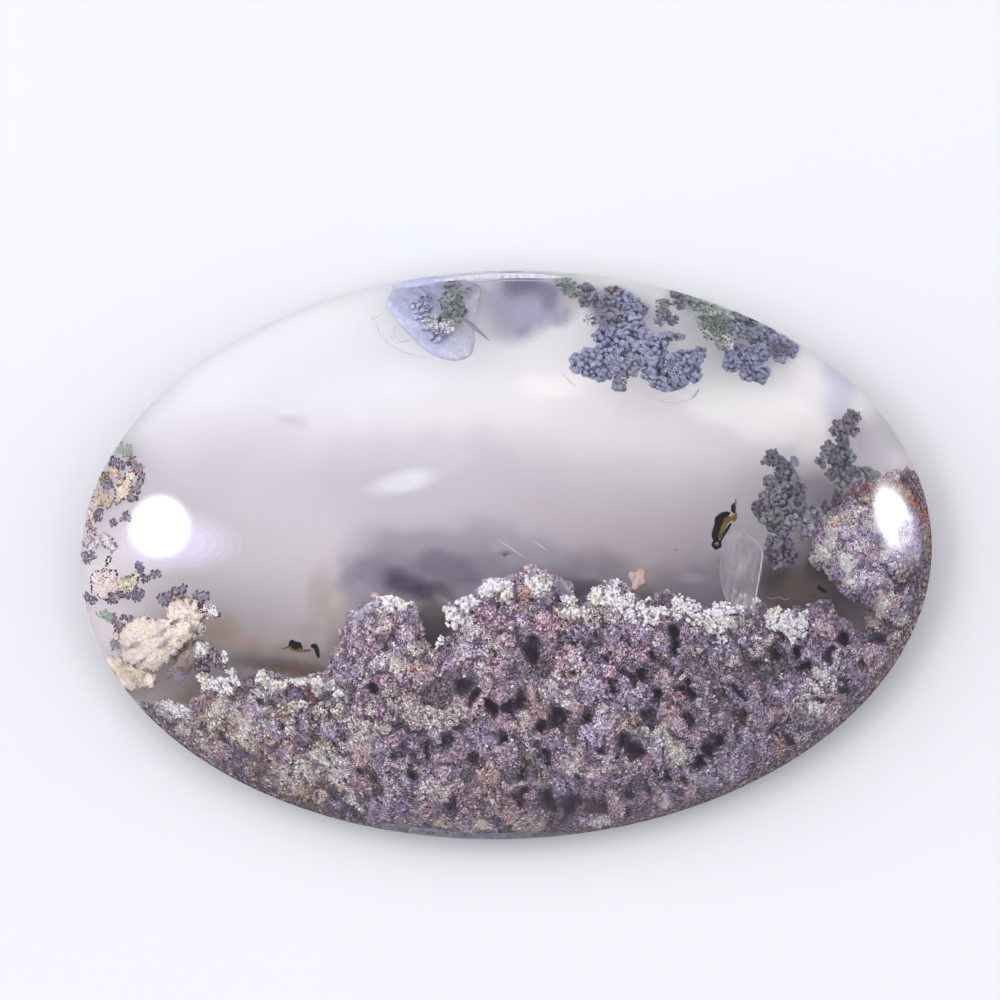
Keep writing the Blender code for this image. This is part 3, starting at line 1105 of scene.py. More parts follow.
def add_bed_edge():
    """Grains over the steep side that the bed turns to the clear window, from its front to its back."""
    strip_width, layers = 7, 4
    px, py = spread_points(*BED_BOX, 2.6)
    inset = bed_inset(px, py)
    kept = (inset > 0) & (inset < strip_width) & (oval_share(px, py) < 0.98)
    px, py = px[kept], py[kept]
    places = np.repeat(inside(px, py, bed_surface(px, py)[0] + 0.12 * MM), layers, axis=0)
    places[:, 2] = random.uniform(0.25 * MM, np.maximum(places[:, 2], 0.3 * MM))
    along_edge = np.repeat(noise(px, py, 22, 13), layers)
    by_height = noise(places[:, 2] / PIXEL, np.zeros(len(places)), 14, 14)
    ridges = along_edge * 0.5 + 0.5 * by_height
    tints = colours_by_mix(len(places), BED_MIX["middle"]) * (0.35 + 0.75 * ridges)[:, None]
    tints = tints * random.uniform(0.6, 1.05, (len(tints), 1))
    normals = all_facing([0.0, 0.8, 0.6], len(places))
    radii = random.uniform(0.07, 0.14, len(places)) * MM
    add_grains("moss_bed_edge", "grain", places, radii, tints * BED_GAIN, normals, lean=0.6)


# Mossy clusters


def heap_points(centres, radii, pitch):
    """Points over the outside of a heap of balls, the ball of each, and how free of others it is."""
    points, owners, freedom = [], [], []
    golden_turn = math.pi * (3 - 5**0.5)
    for index, (centre, radius) in enumerate(zip(centres, radii)):
        count = max(8, int(4 * math.pi * radius**2 / (0.866 * pitch**2)))
        height = 1 - 2 * (np.arange(count) + 0.5) / count
        turn = golden_turn * np.arange(count) + random.uniform(0, 6)
        ring = np.sqrt(1 - height**2)
        sphere = np.stack([ring * np.cos(turn), ring * np.sin(turn), height], axis=1)
        sphere = unit(sphere + random.normal(size=sphere.shape) * 0.12)
        found = centre + sphere * radius
        away = np.linalg.norm(found[:, None] - centres[None], axis=2) / radii[None]
        away[:, index] = np.inf
        outside = away.min(axis=1) > 0.93
        points.append(found[outside])
        owners.append(np.full(outside.sum(), index))
        freedom.append(smoothstep(0.93, 1.3, away.min(axis=1)[outside]))
    return np.concatenate(points), np.concatenate(owners), np.concatenate(freedom)


def add_cluster(name, limbs, depth, knob, ringed):
    """A mossy cluster: limbs, given as (x, y, radius, colour), covered with knobs and some ring cells."""
    ring_redness, core_size, core_painted_shade = 0.1, 0.86, 0.35
    px, py, radii_px = (np.array([limb[i] for limb in limbs], float) for i in range(3))
    colours = np.array([COLOURS[limb[3]] for limb in limbs])
    radii = radii_px * PIXEL * CLUSTER_SCALE
    front = depth * MM + random.uniform(0, 0.25, len(limbs)) * MM
    knob_size = knob * PIXEL * CLUSTER_SCALE
    balls = inside(px, py, front + radii + knob_size * 0.5)
    balls[:, 2] = np.maximum(balls[:, 2], radii + 0.3 * MM)
    points, owners, freedom = heap_points(balls, radii, knob_size * 1.5)
    normals = unit(points - balls[owners])
    points = points + normals * random.uniform(-0.6, 0.7, (len(points), 1)) * knob_size
    sizes = knob_size * random.uniform(0.55, 1.15, len(points))
    # Painted shade: knobs darker where their limb meets another and lighter where it stands free, varied by
    # chance
    lift = (0.44 + 0.6 * freedom) * random.uniform(0.82, 1.12, len(limbs))[owners]
    lift *= random.uniform(0.8, 1.12, len(points))
    tints = colours[owners] * lift[:, None] * MOSS_GAIN
    rings = random.random(len(points)) < ringed
    knobs = ~rings
    add_grains(name, "knob", points[knobs], sizes[knobs], tints[knobs], normals[knobs], material=VELVET)
    if rings.any():
        raised = points[rings] + normals[rings] * knob_size * 0.35
        add_grains(name + "_rings", "cup", raised, sizes[rings] * 0.8, tints[rings] * 1.25, normals[rings],
                   redness=ring_redness)
    # The inner balls are darkened as painted shade inside the cluster
    add_grains(name + "_core", "knob", balls, radii * core_size, colours * core_painted_shade * MOSS_GAIN,
               all_facing(UP, len(balls)), material=VELVET)


# Each cluster: depth in mm, knob radius in pixels, share of ring cells, and its limbs
CLUSTERS = {
    "top_main": (0.9, 3.7, 0.06, [
        (604, 300, 9, "grey_blue"), (622, 300, 11, "periwinkle"), (636, 308, 9, "periwinkle"),
        (612, 318, 12, "grey_blue"), (630, 324, 13, "periwinkle"), (640, 336, 10, "periwinkle"),
        (606, 336, 12, "periwinkle"), (622, 342, 14, "periwinkle"), (636, 352, 12, "periwinkle"),
        (604, 356, 11, "periwinkle"), (590, 358, 9, "periwinkle"), (580, 366, 8, "periwinkle"),
        (576, 360, 6, "periwinkle"), (596, 370, 9, "periwinkle"), (614, 368, 10, "periwinkle"),
        (628, 368, 8, "grey_blue"), (619, 384, 6, "grey_blue"), (650, 362, 10, "periwinkle"),
        (656, 348, 9, "periwinkle"), (664, 340, 6, "periwinkle"), (666, 366, 13, "periwinkle"),
        (682, 364, 12, "periwinkle"), (694, 358, 8, "periwinkle"), (700, 352, 5, "periwinkle"),
        (676, 380, 9, "periwinkle"), (660, 384, 6, "periwinkle"), (692, 374, 8, "periwinkle"),
        (650, 376, 5, "periwinkle"), (612, 290, 5, "mauve"),
    ]),
    "top_right": (0.7, 3.5, 0.1, [
        (690, 298, 5, "grey_green"), (698, 305, 7, "grey_green"), (712, 311, 8, "grey_green"),
        (726, 317, 7, "grey_green"), (738, 318, 6, "grey_blue"), (704, 320, 6, "grey_green"),
        (716, 328, 8, "grey_green"), (728, 336, 8, "grey_green"), (724, 344, 5, "grey_green"),
        (752, 322, 6, "grey_blue"), (740, 331, 7, "periwinkle"), (754, 336, 8, "grey_blue"),
        (766, 332, 7, "periwinkle"), (778, 342, 9, "periwinkle"), (790, 348, 8, "periwinkle"),
        (780, 356, 6, "periwinkle"), (764, 350, 8, "periwinkle"), (738, 354, 11, "periwinkle"),
        (752, 361, 11, "periwinkle"), (732, 364, 7, "periwinkle"), (746, 373, 6, "periwinkle"),
        (760, 369, 7, "periwinkle"), (761, 379, 5, "grey_blue"),
    ]),
    "top_clumps": (0.6, 3.6, 0.25, [
        (676, 294, 5, "grey_blue"), (680, 303, 5, "grey_blue"), (666, 303, 5, "grey_green"),
        (664, 313, 6, "grey_blue"), (672, 320, 5, "grey_blue"), (660, 322, 4, "grey_blue"),
        (679, 337, 4, "grey_blue"), (562, 282, 5, "grey_green"), (568, 288, 6, "grey_green"),
        (575, 294, 5, "grey_green"), (591, 320, 5, "grey_blue"), (586, 300, 6, "grey_blue"),
        (587, 288, 6, "grey_blue"),
    ]),
    "top_left": (0.5, 2.8, 0.3, [
        (416, 305, 6, "pale_blue"), (424, 308, 6, "pale_blue"), (418, 316, 5, "pale_blue"),
        (427, 318, 5, "pale_blue"), (430, 326, 7, "pale_blue"), (434, 337, 6, "pale_blue"),
        (442, 331, 5, "pale_blue"), (426, 298, 4, "periwinkle"), (446, 318, 6, "grey_blue"),
        (452, 306, 6, "grey_blue"), (456, 294, 4, "grey_green"), (450, 284, 4, "grey_green"),
        (458, 281, 3, "grey_green"), (462, 312, 5, "grey_blue"), (468, 290, 3, "grey_green"),
    ]),
    "plume_left": (1.1, 2.8, 0.08, [
        (772, 455, 5, "plume_grey"), (778, 462, 6, "plume_grey"), (767, 460, 4, "grey"),
        (794, 462, 4, "grey_blue"), (784, 472, 9, "plume_grey"), (790, 484, 11, "plume_grey"),
        (778, 492, 11, "sea_grey"), (798, 492, 8, "plume_grey"), (770, 481, 5, "plume_grey"),
        (768, 500, 8, "plume_grey"),
        (757, 506, 5, "violet"), (766, 514, 9, "sea_grey"), (782, 508, 13, "sea_grey"),
        (796, 505, 9, "plume_grey"), (776, 522, 10, "sea_grey"), (790, 520, 9, "sea_grey"),
        (801, 503, 5, "plume_grey"), (784, 532, 5, "plume_grey"),
    ]),
    "plume_right": (1.0, 2.7, 0.08, [
        (852, 414, 5, "grey"), (857, 417, 4, "mauve"), (848, 421, 6, "grey"), (838, 426, 5, "grey"),
        (844, 430, 7, "plume_grey"), (853, 430, 5, "grey"), (834, 431, 4, "grey"),
        (843, 441, 6, "plume_grey"), (828, 447, 5, "plume_grey"), (825, 454, 4, "grey_blue"),
        (821, 462, 4, "grey"),
        (834, 459, 6, "sea_grey"), (842, 453, 8, "plume_grey"), (850, 456, 5, "grey_blue"),
        (842, 467, 8, "plume_grey"), (832, 474, 5, "plume_grey"), (848, 470, 6, "plume_grey"),
        (846, 480, 6, "sea_grey"), (840, 488, 5, "sea_grey"), (858, 472, 5, "sea_grey"),
        (868, 473, 5, "sea_grey"), (876, 476, 4, "grey"),
    ]),
    "violet_clumps": (1.2, 3.0, 0.1, [
        (803, 520, 6, "lavender"), (809, 527, 5, "grey_blue"), (806, 535, 4, "lavender"),
        (816, 512, 5, "grey_blue"), (825, 508, 4, "violet"), (798, 514, 4, "violet"),
        (774, 543, 7, "plume_grey"), (785, 546, 8, "haze_and_shade"), (779, 558, 9, "plume_grey"),
        (791, 557, 6, "haze_and_shade"), (772, 553, 5, "violet"), (837, 500, 5, "violet"),
    ]),
}


def add_clusters():
    """All mossy clusters, which stand free of the bed."""
    for name, (depth, knob, ringed, limbs) in CLUSTERS.items():
        add_cluster(name, limbs, depth, knob, ringed)


# Patches of open ring cells: x, y, half width, half height, rim colour, depth in mm
CUT_PATCHES = [
    (614, 358, 9, 11, "pale_blue", 0.75), (674, 364, 9, 14, "pale_blue", 0.75),
    (716, 328, 18, 14, "grey_green", 0.5), (728, 340, 9, 8, "white", 0.5),
    (452, 304, 13, 24, "grey_green", 0.35), (446, 326, 8, 7, "white", 0.35), (430, 322, 9, 9, "white", 0.35),
    (567, 288, 10, 9, "grey_green", 0.4), (590, 320, 5, 6, "white", 0.5),
    (662, 308, 6, 10, "grey_green", 0.5), (780, 348, 12, 9, "lavender", 0.6),
    (209, 611, 9, 8, "white", 0.4), (93, 540, 11, 9, "pale_pink", 0.15),
    (109, 544, 5, 5, "pale_pink", 0.2), (737, 600, 12, 8, "pale_pink", 1.1),
    (126, 584, 9, 8, "pale_cream", 0.25), (110, 586, 14, 12, "pale_pink", 0.3),
]


def add_cut_patches():
    """Ring cells that lie open towards the viewer."""
    centres, tints, radii = [], [], []
    for *oval, colour, depth in CUT_PATCHES:
        px, py = spread_points(*oval_box(oval, 0), 3.0)
        near = oval_reach(px, py, *oval) + 0.35 * noise(px, py, 5, 41) < 1.15
        centres.append(inside(px[near], py[near], depth * MM))
        tints.append(np.tile(COLOURS[colour] * MOSS_GAIN, (near.sum(), 1)))
        radii.append(random.uniform(1.2, 2.3, near.sum()) * PIXEL)
    centres, tints, radii = np.concatenate(centres), np.concatenate(tints), np.concatenate(radii)
    tints = tints * random.uniform(0.75, 1.1, (len(centres), 1))
    normals = all_facing(UP, len(centres))
    add_grains("cut_patches", "cup", centres, radii, tints, normals, lean=0.5, redness=0.12)


# White crusts along the top of the bed: x, y, half width, half height, depth in mm
CRUSTS = [
    (453, 616, 9, 13, 0.9), (466, 603, 12, 7, 0.9), (486, 592, 9, 6, 0.9), (500, 585, 12, 6, 0.9),
    (508, 594, 5, 8, 0.9), (541, 587, 8, 7, 0.9), (564, 600, 7, 6, 0.9), (574, 609, 10, 6, 0.9),
    (582, 614, 5, 5, 0.9), (597, 596, 9, 10, 0.9), (612, 596, 14, 12, 0.85), (628, 603, 12, 10, 0.85),
    (642, 610, 14, 12, 0.85), (650, 622, 9, 6, 0.9), (632, 616, 7, 6, 0.9), (679, 606, 8, 10, 0.9),
    (690, 610, 9, 10, 0.9), (704, 618, 12, 9, 0.85), (720, 613, 12, 10, 0.85), (730, 622, 9, 8, 0.9),
    (716, 628, 9, 6, 0.9), (741, 608, 7, 6, 0.95), (774, 622, 8, 10, 0.9), (788, 624, 9, 12, 0.85),
    (802, 622, 8, 12, 0.85), (796, 634, 10, 8, 0.9), (774, 612, 6, 5, 0.95), (722, 640, 8, 5, 1.0),
    (203, 678, 8, 7, 0.5), (216, 684, 12, 8, 0.5), (232, 678, 9, 8, 0.5), (202, 648, 6, 7, 0.6),
    (226, 690, 9, 5, 0.5), (263, 679, 8, 6, 0.6), (276, 683, 12, 5, 0.6), (296, 682, 10, 4, 0.6),
    (316, 682, 8, 4, 0.6), (389, 603, 12, 6, 1.0), (404, 606, 8, 6, 1.0), (441, 643, 4, 6, 1.2),
    (338, 694, 6, 5, 0.5), (182, 712, 9, 7, 0.3), (170, 706, 8, 5, 0.3), (600, 824, 9, 4, 0.2),
    (302, 705, 4, 4, 0.5), (287, 731, 2, 3, 0.4), (818, 709, 10, 6, 0.5), (445, 609, 3, 3, 1.1),
    (660, 612, 8, 6, 0.95), (574, 598, 5, 6, 1.0), (530, 582, 6, 5, 0.9), (752, 602, 6, 4, 1.0),
]


def add_crusts():
    """Heaps of small white crystals that lie on the moss."""
    swell_height = 0.3
    centres, normals, tints = [], [], []
    for *oval, depth in CRUSTS:
        x, y, half_width, half_height = oval
        px, py = spread_points(*oval_box(oval, 3), 2.1)
        reach = oval_reach(px, py, *oval) + 1.1 * (noise(px, py, 4.5, 42) - 0.35)
        near = reach < random.uniform(0.85, 1.25, px.size)
        px, py, reach = px[near], py[near], reach[near]
        swell = swell_height * np.sqrt(np.clip(1 - reach / 1.12, 0, 1))
        sunk = random.uniform(-0.08, 0.14, px.size)
        foot = depth + swell_height
        moss_depth = np.where(bed_mask(px, py), bed_surface(px, py)[0] / MM - 0.02, foot)
        centres.append(inside(px, py, (np.minimum(foot, moss_depth) - swell + sunk) * MM))
        out = np.stack([(px - x) / half_width, (y - py) / half_height, np.full(px.size, 0.7)], axis=1)
        normals.append(unit(out))
        yellow = smoothstep(0.45, 0.8, noise(px, py, 12, 43))[:, None] * 0.75
        base = blend(COLOURS["white"], COLOURS["pale_cream"], yellow)
        # Painted shade: crystals sunk deeper into the moss are darker
        tints.append(base * (1.05 - 2.6 * np.maximum(sunk, 0))[:, None])
    centres, normals, tints = (np.concatenate(part) for part in (centres, normals, tints))
    tints = tints * random.uniform(0.8, 1.12, (len(tints), 1)) * CRUST_GAIN
    radii = random.uniform(0.035, 0.085, len(centres)) * MM
    add_grains("white_crusts", "grain", centres, radii, tints, normals, lean=0.5, material=CRUST)


# Small growths and fans

# Small growths: depth in mm, colours inside, colours of the fringe, and circles as (x, y, radius)
SMALL_GROWTHS = [
    (0.35, ["green", "grey_green"], ["green"], [(119, 449, 5), (125, 452, 6), (130, 449, 3), (121, 444, 3)]),
    (0.30, ["haze_and_shade", "pink", "violet"], ["violet", "brown"], [
        (109, 462, 3), (115, 462, 5), (122, 465, 5), (127, 463, 3),
    ]),
    (0.30, ["peach", "pale_cream"], ["tan", "mauve"], [(112, 473, 3), (117, 475, 4), (121, 481, 4)]),
    (0.25, ["pale_cream", "peach", "pale_pink"], ["burnt", "tan", "brown"], [
        (130, 476, 5), (127, 482, 5), (124, 488, 5), (121, 494, 6), (118, 499, 4),
    ]),
    (0.35, ["mauve", "pink", "haze_and_shade"], ["violet", "brown"], [
        (133, 459, 3), (135, 463, 4), (139, 468, 4), (141, 475, 4), (139, 483, 4), (136, 490, 4),
        (132, 497, 4),
    ]),
    (0.25, ["tan", "brown"], ["brown", "violet"], [(102, 479, 4), (106, 476, 3)]),
    (0.30, ["lavender", "violet"], ["violet"], [(108, 486, 4), (111, 482, 3)]),
    (0.22, ["cream", "peach"], ["tan", "mauve"], [(97, 494, 5), (103, 497, 6), (106, 503, 4), (98, 502, 4)]),
    (0.20, ["pale_pink", "cream"], ["tan"], [(94, 507, 4), (91, 515, 3)]),
    (0.25, ["violet", "mauve"], ["violet"], [(99, 512, 4), (97, 518, 3)]),
    (0.25, ["mauve", "violet"], ["violet"], [
        (113, 524, 2), (116, 521, 2), (120, 519, 2), (124, 520, 2), (126, 516, 2), (128, 519, 2),
    ]),
    (0.20, ["pink", "tan"], ["mauve", "brown"], [(88, 524, 3), (92, 529, 3), (90, 534, 3)]),
    (0.18, ["white", "pale_pink"], ["mauve", "violet"], [
        (86, 541, 4), (92, 536, 4), (97, 541, 4), (92, 546, 4),
    ]),
    (0.20, ["white", "pale_pink"], ["mauve", "violet"], [(103, 537, 3), (108, 542, 4), (113, 547, 3)]),
    (0.20, ["grey", "haze_and_shade"], ["haze_and_shade", "violet"], [(84, 555, 3), (88, 560, 4), (92, 557, 3)]),
    (0.25, ["olive", "brown"], ["black"], [(107, 562, 3), (109, 559, 2)]),
    (0.25, ["pale_pink", "white", "peach"], ["brown", "plum"], [
        (98, 579, 6), (104, 585, 9), (112, 586, 7), (104, 594, 6), (98, 588, 6), (113, 577, 4), (106, 574, 4),
    ]),
    (0.25, ["pale_cream", "peach"], ["brown", "violet"], [
        (121, 585, 4), (127, 583, 5), (133, 579, 5), (137, 574, 4), (130, 588, 3),
    ]),
    (0.30, ["haze_and_shade", "lavender"], ["violet", "slate"], [
        (139, 566, 3), (140, 573, 4), (146, 578, 4), (152, 576, 3), (157, 573, 2),
    ]),
    (0.30, ["haze_and_shade", "mauve"], ["violet", "brown"], [(113, 597, 5), (118, 593, 4), (108, 600, 3)]),
    (0.30, ["haze_and_shade", "lavender"], ["violet"], [(129, 594, 4), (136, 595, 5), (142, 593, 3)]),
    (0.25, ["haze_and_shade", "lavender"], ["violet"], [(88, 598, 4), (93, 600, 4)]),
    (0.25, ["green", "grey_green"], ["green"], [(99, 613, 3), (104, 614, 4), (109, 618, 4)]),
    (0.25, ["haze_and_shade", "pink"], ["brown", "violet"], [
        (114, 619, 4), (118, 624, 4), (122, 618, 3), (128, 618, 3), (119, 630, 3),
    ]),
    (0.30, ["lavender"], ["lavender"], [(115, 646, 5)]),
    (0.45, ["lavender", "haze_and_shade"], ["violet", "brown"], [
        (163, 600, 4), (168, 596, 4), (176, 591, 4), (184, 590, 3), (181, 595, 3),
    ]),
    (0.45, ["lavender", "haze_and_shade"], ["violet", "brown"], [(197, 594, 3), (202, 596, 3), (206, 597, 3)]),
    (0.30, ["white", "pale_cream"], ["plum", "brown"], [(205, 608, 3), (211, 611, 5), (216, 615, 3)]),
    (0.30, ["plum"], ["plum"], [(201, 606, 2)]),
    (0.30, ["white", "lime_cream"], ["pale_lavender"], [(200, 647, 4), (204, 652, 4), (198, 653, 3)]),
    (0.95, ["pale_lavender", "faint"], ["lavender"], [
        (354, 631, 3), (355, 623, 4), (360, 615, 5), (367, 609, 5), (376, 604, 4),
    ]),
    (0.35, ["haze_and_shade", "wine", "violet", "pale_pink"], ["wine", "brown"], [
        (213, 653, 4), (216, 660, 5), (206, 660, 4), (200, 668, 4), (207, 668, 3), (222, 664, 4),
    ]),
    (0.30, ["white", "pale_lavender"], ["lavender"], [(223, 655, 3), (224, 661, 3)]),
    (0.35, ["lavender"], ["lavender"], [(179, 677, 5)]),
    (0.16, ["tan", "peach"], ["tan", "mauve"], [
        (880, 481, 3), (887, 482, 3), (894, 485, 4), (901, 489, 4), (908, 494, 4),
    ]),
    (0.16, ["burnt", "rust", "tan"], ["tan", "rust"], [
        (912, 499, 4), (917, 505, 5), (922, 512, 5), (925, 519, 4),
    ]),
    (0.14, ["burnt"], ["burnt", "rust"], [(922, 514, 4), (919, 509, 3)]),
    (0.16, ["tan", "brown"], ["brown", "black"], [
        (927, 532, 3), (928, 541, 4), (928, 550, 4), (927, 558, 3),
    ]),
]


def tints_from(names, count):
    """Colours drawn evenly from a few named ones."""
    palette = np.array([COLOURS[name] for name in names])
    return palette[random.integers(len(names), size=count)]


def add_small_growths():
    """Fine grains, pale inside and with darker dots along a ragged edge."""
    margin = 4
    centres, tints = [], []
    for depth, inner, fringe, circles in SMALL_GROWTHS:
        x, y, radius = np.array(circles, float).T
        low_x, low_y = min(x - radius) - margin, min(y - radius) - margin
        high_x, high_y = max(x + radius) + margin, max(y + radius) + margin
        px, py = spread_points(low_x, low_y, high_x, high_y, 1.6)
        inset = np.max(radius[:, None] - np.hypot(px - x[:, None], py - y[:, None]), axis=0)
        inset += 3 * (noise(px, py, 3.2, 71) - 0.3) + 3 * (noise(px, py, 7, 72) - 0.5)
        kept = (inset > -0.6) & (random.random(px.size) < np.where(inset < 1, 0.65, 1.0))
        px, py, inset = px[kept], py[kept], inset[kept]
        swell = 0.3 * np.sqrt(np.clip(inset / 5, 0, 1)) + random.uniform(0, 0.08, px.size)
        centres.append(inside(px, py, (depth + 0.3 - swell) * MM))
        at_edge = (inset < 1.2 + random.uniform(-0.9, 0.7, px.size))[:, None]
        inner_tints = tints_from(inner, px.size) * 0.5 + COLOURS[inner[0]] * 0.5
        tints.append(np.where(at_edge, tints_from(fringe, px.size), inner_tints * GROWTH_GAIN))
    centres, tints = np.concatenate(centres), np.concatenate(tints)
    tints = tints * random.uniform(0.86, 1.12, (len(tints), 1))
    radii = random.uniform(0.9, 1.6, len(centres)) * PIXEL
    add_grains("left_growths", "grain", centres, radii, tints, all_facing(UP, len(centres)), material=CRUST)


def rounded_outline(points, count=72):
    """A closed outline through given points, rounded and evenly stepped."""
    points = np.array(points, float)
    for _ in range(2):
        ends = np.roll(points, -1, axis=0)
        points = np.stack([points * 0.75 + ends * 0.25, points * 0.25 + ends * 0.75], axis=1).reshape(-1, 2)
    closed = np.concatenate([points, points[:1]])
    along = np.concatenate([[0], np.cumsum(np.linalg.norm(np.diff(closed, axis=0), axis=1))])
    wanted = np.linspace(0, along[-1], count + 1)
    return np.interp(wanted, along, closed[:, 0]), np.interp(wanted, along, closed[:, 1])


def add_pillow(name, outline, depth, thickness, middle, edge, streak=None, wave=0.0, fade=None,
               material=None):
    """A smooth lens over an outline. Its colour runs from middle to edge, in streaks if asked.

    A fade, given as x, y, reach and a colour, takes the colour over from that place.
    """
    rings = 22
    rim_x, rim_y = rounded_outline(outline)
    centre_x, centre_y = rim_x[:-1].mean(), rim_y[:-1].mean()
    share = np.linspace(0.02, 1, rings)[:, None]
    px = (centre_x + (rim_x - centre_x)[None] * share).ravel()
    py = (centre_y + (rim_y - centre_y)[None] * share).ravel()
    swell = np.sqrt(1 - 0.998 * np.repeat(share[:, 0], len(rim_x)) ** 2) * thickness / 2 * MM
    pattern = noise(px, py, 6, 51)
    if streak is not None:
        across, along = math.cos(math.radians(streak)), math.sin(math.radians(streak))
        run, side = px * across - py * along, px * along + py * across
        pattern = 0.65 * noise(run / 7, side, 2.6, 52) + 0.35 * noise(run / 3, side, 1.6, 53)
    ripple = wave * (pattern - 0.5) * MM
    centre_depth = depth * MM + thickness / 2 * MM
    top = keep_under_polish(inside(px, py, centre_depth - swell + ripple), 0.06 * MM)
    low = keep_under_polish(inside(px, py, centre_depth + swell + ripple), 0.06 * MM)
    border = smoothstep(0.72, 1.0, np.repeat(share[:, 0], len(rim_x)))[:, None]
    base = blend(COLOURS[middle], COLOURS[edge], border)
    tints = base * (0.62 + 0.6 * pattern)[:, None] * MOSS_GAIN
    if fade:
        fade_x, fade_y, fade_reach, fade_colour = fade
        faded = (1 - smoothstep(0.2, 1, np.hypot(px - fade_x, py - fade_y) / fade_reach))[:, None]
        tints = tints * (1 - faded) + linear(*fade_colour) * faded * MILK_GAIN
    shape = (rings, len(rim_x))
    cells = np.ones((rings - 1, len(rim_x) - 1), bool)
    return add_slab(name, material or SKIN, top, low, shape, cells, tints, wrap=True)


def add_blade():
    """The flat, frosty crystal that stands over the right half of the bed."""
    outline = [
        (726, 532), (741, 530), (752, 538), (762, 550), (762, 562), (759, 580), (755, 600), (753, 616),
        (732, 612), (722, 592), (719, 566), (722, 546),
    ]
    add_pillow("blade", outline, 1.0, 0.2, "white", "white", streak=78, wave=0.08, material=FROST)


def add_fan(name, outline, hub, depth, pale, dark, fringe):
    """A feathery growth of fine grains, streaked away from its hub, with dots along its edge."""
    margin = 4
    outline = np.array(outline, float)
    low, high = outline.min(axis=0) - margin, outline.max(axis=0) + margin
    px, py = spread_points(*low, *high, 1.8)
    inset = edge_distance(px, py, outline) + 5 * (noise(px, py, 4, 55) - 0.5)
    inset += 6 * (noise(px, py, 9, 56) - 0.5)
    kept = inset > -0.5
    px, py, inset = px[kept], py[kept], inset[kept]
    angle, reach = np.arctan2(hub[1] - py, px - hub[0]), np.hypot(px - hub[0], py - hub[1])
    streaks = 0.7 * noise(angle * 17, reach / 22, 1, 57) + 0.3 * noise(angle * 44, reach / 12, 1, 58)
    pattern = 0.6 * streaks + 0.4 * noise(px, py, 15, 59)
    swell = 0.35 * np.sqrt(np.clip(inset / 9, 0, 1)) + 0.2 * (pattern - 0.5)
    swell += random.uniform(0, 0.05, px.size)
    centres = inside(px, py, (depth + 0.35 - swell) * MM)
    share = smoothstep(0.16, 0.5, pattern)[:, None]
    patches = noise(px, py, 8, 60)[:, None]
    pale_tints = blend(COLOURS[pale[1]], COLOURS[pale[0]], patches)
    dark_tints = blend(COLOURS[dark[1]], COLOURS[dark[0]], patches)
    tints = blend(dark_tints, pale_tints, share) * FAN_GAIN
    dotted = (inset < 1.4) & (random.random(px.size) < 0.35)
    tints = np.where(dotted[:, None], tints_from(fringe, px.size), tints)
    tints = tints * random.uniform(0.93, 1.06, (px.size, 1))
    course = angle - STONE_TURN + random.normal(size=px.size) * 0.2
    along = np.stack([np.cos(course), np.sin(course), random.normal(size=px.size) * 0.2], axis=1)
    radii = random.uniform(1.0, 1.7, px.size) * PIXEL
    up = all_facing(UP, px.size)
    add_grains(name, "strand", centres, radii, tints, up, lean=0.1, along=along, material=FEATHER)
    deeper = centres - up * 0.06 * MM
    add_grains(name + "_ground", "grain", deeper, radii * 1.7, tints, up, material=FEATHER)


# Each fan: its outline, its hub, its depth in mm, its pale and its dark colours, and those of its edge
FANS = {
    "fan_main": ([
        (120, 626), (141, 618), (156, 617), (176, 623), (188, 617), (200, 619), (203, 628), (194, 640),
        (184, 643), (174, 655), (160, 668), (138, 668), (122, 655), (117, 640),
    ], (216, 602), 0.35, ["pale_pink", "pale_cream"], ["olive_grey", "grey"], ["brown", "tan"]),
    "fan_lower": ([
        (106, 654), (118, 657), (134, 667), (156, 680), (151, 688), (132, 690), (118, 683), (108, 668),
    ], (60, 606), 0.2, ["pale_pink", "pale_cream"], ["olive_grey", "cream"], ["tan", "grey"]),
    "fan_upper": ([
        (170, 606), (176, 598), (188, 597), (197, 603), (204, 614), (200, 622), (182, 624), (168, 618),
    ], (212, 650), 0.45, ["pale_cream", "pale_pink"], ["tan", "cream"], ["tan", "burnt"]),
    "fan_haze": ([
        (176, 652), (188, 643), (200, 636), (206, 645), (196, 660), (182, 672), (168, 678), (166, 668),
    ], (216, 602), 0.9, ["pink", "olive_grey"], ["olive_grey", "mauve"], ["olive_grey"]),
}


def add_fans():
    """All feathery growths, at the stone's left end."""
    for name, details in FANS.items():
        add_fan(name, *details)


# Smooth minerals and small single things


def add_top_lobe():
    """The smooth blue-grey lobe at the top left."""
    outline = [
        (404, 279), (390, 292), (386, 305), (394, 317), (412, 338), (432, 356), (452, 362), (470, 358),
        (475, 345), (474, 325), (480, 300), (482, 284), (450, 277), (425, 276),
    ]
    fade = (500, 328, 78, (216, 212, 228))
    add_pillow("top_lobe", outline, 1.0, 0.6, "lobe_blue", "pale_blue", streak=-35, wave=0.1, fade=fade)


def add_petals():
    """Three smooth growths: a petal, a clear lobe and a film along the lower rim."""
    petal = [
        (628, 576), (630, 571), (636, 573), (640, 568), (645, 571), (643, 577), (646, 583), (639, 585),
        (636, 591), (631, 588), (633, 582),
    ]
    add_pillow("petal", petal, 0.9, 0.3, "pink", "peach", streak=70, wave=0.16)
    lobe = [(553, 580), (562, 578), (570, 588), (570, 598), (560, 597), (553, 590)]
    add_pillow("clear_lobe", lobe, 1.0, 0.25, "white", "white", wave=0.05, material=FROST)
    blue_film = [
        (360, 822), (400, 834), (450, 841), (520, 842), (575, 838), (575, 830), (520, 834), (450, 832),
        (400, 824),
    ]
    add_pillow("rim_film", blue_film, 0.1, 0.15, "grey_blue", "grey", wave=0.04)


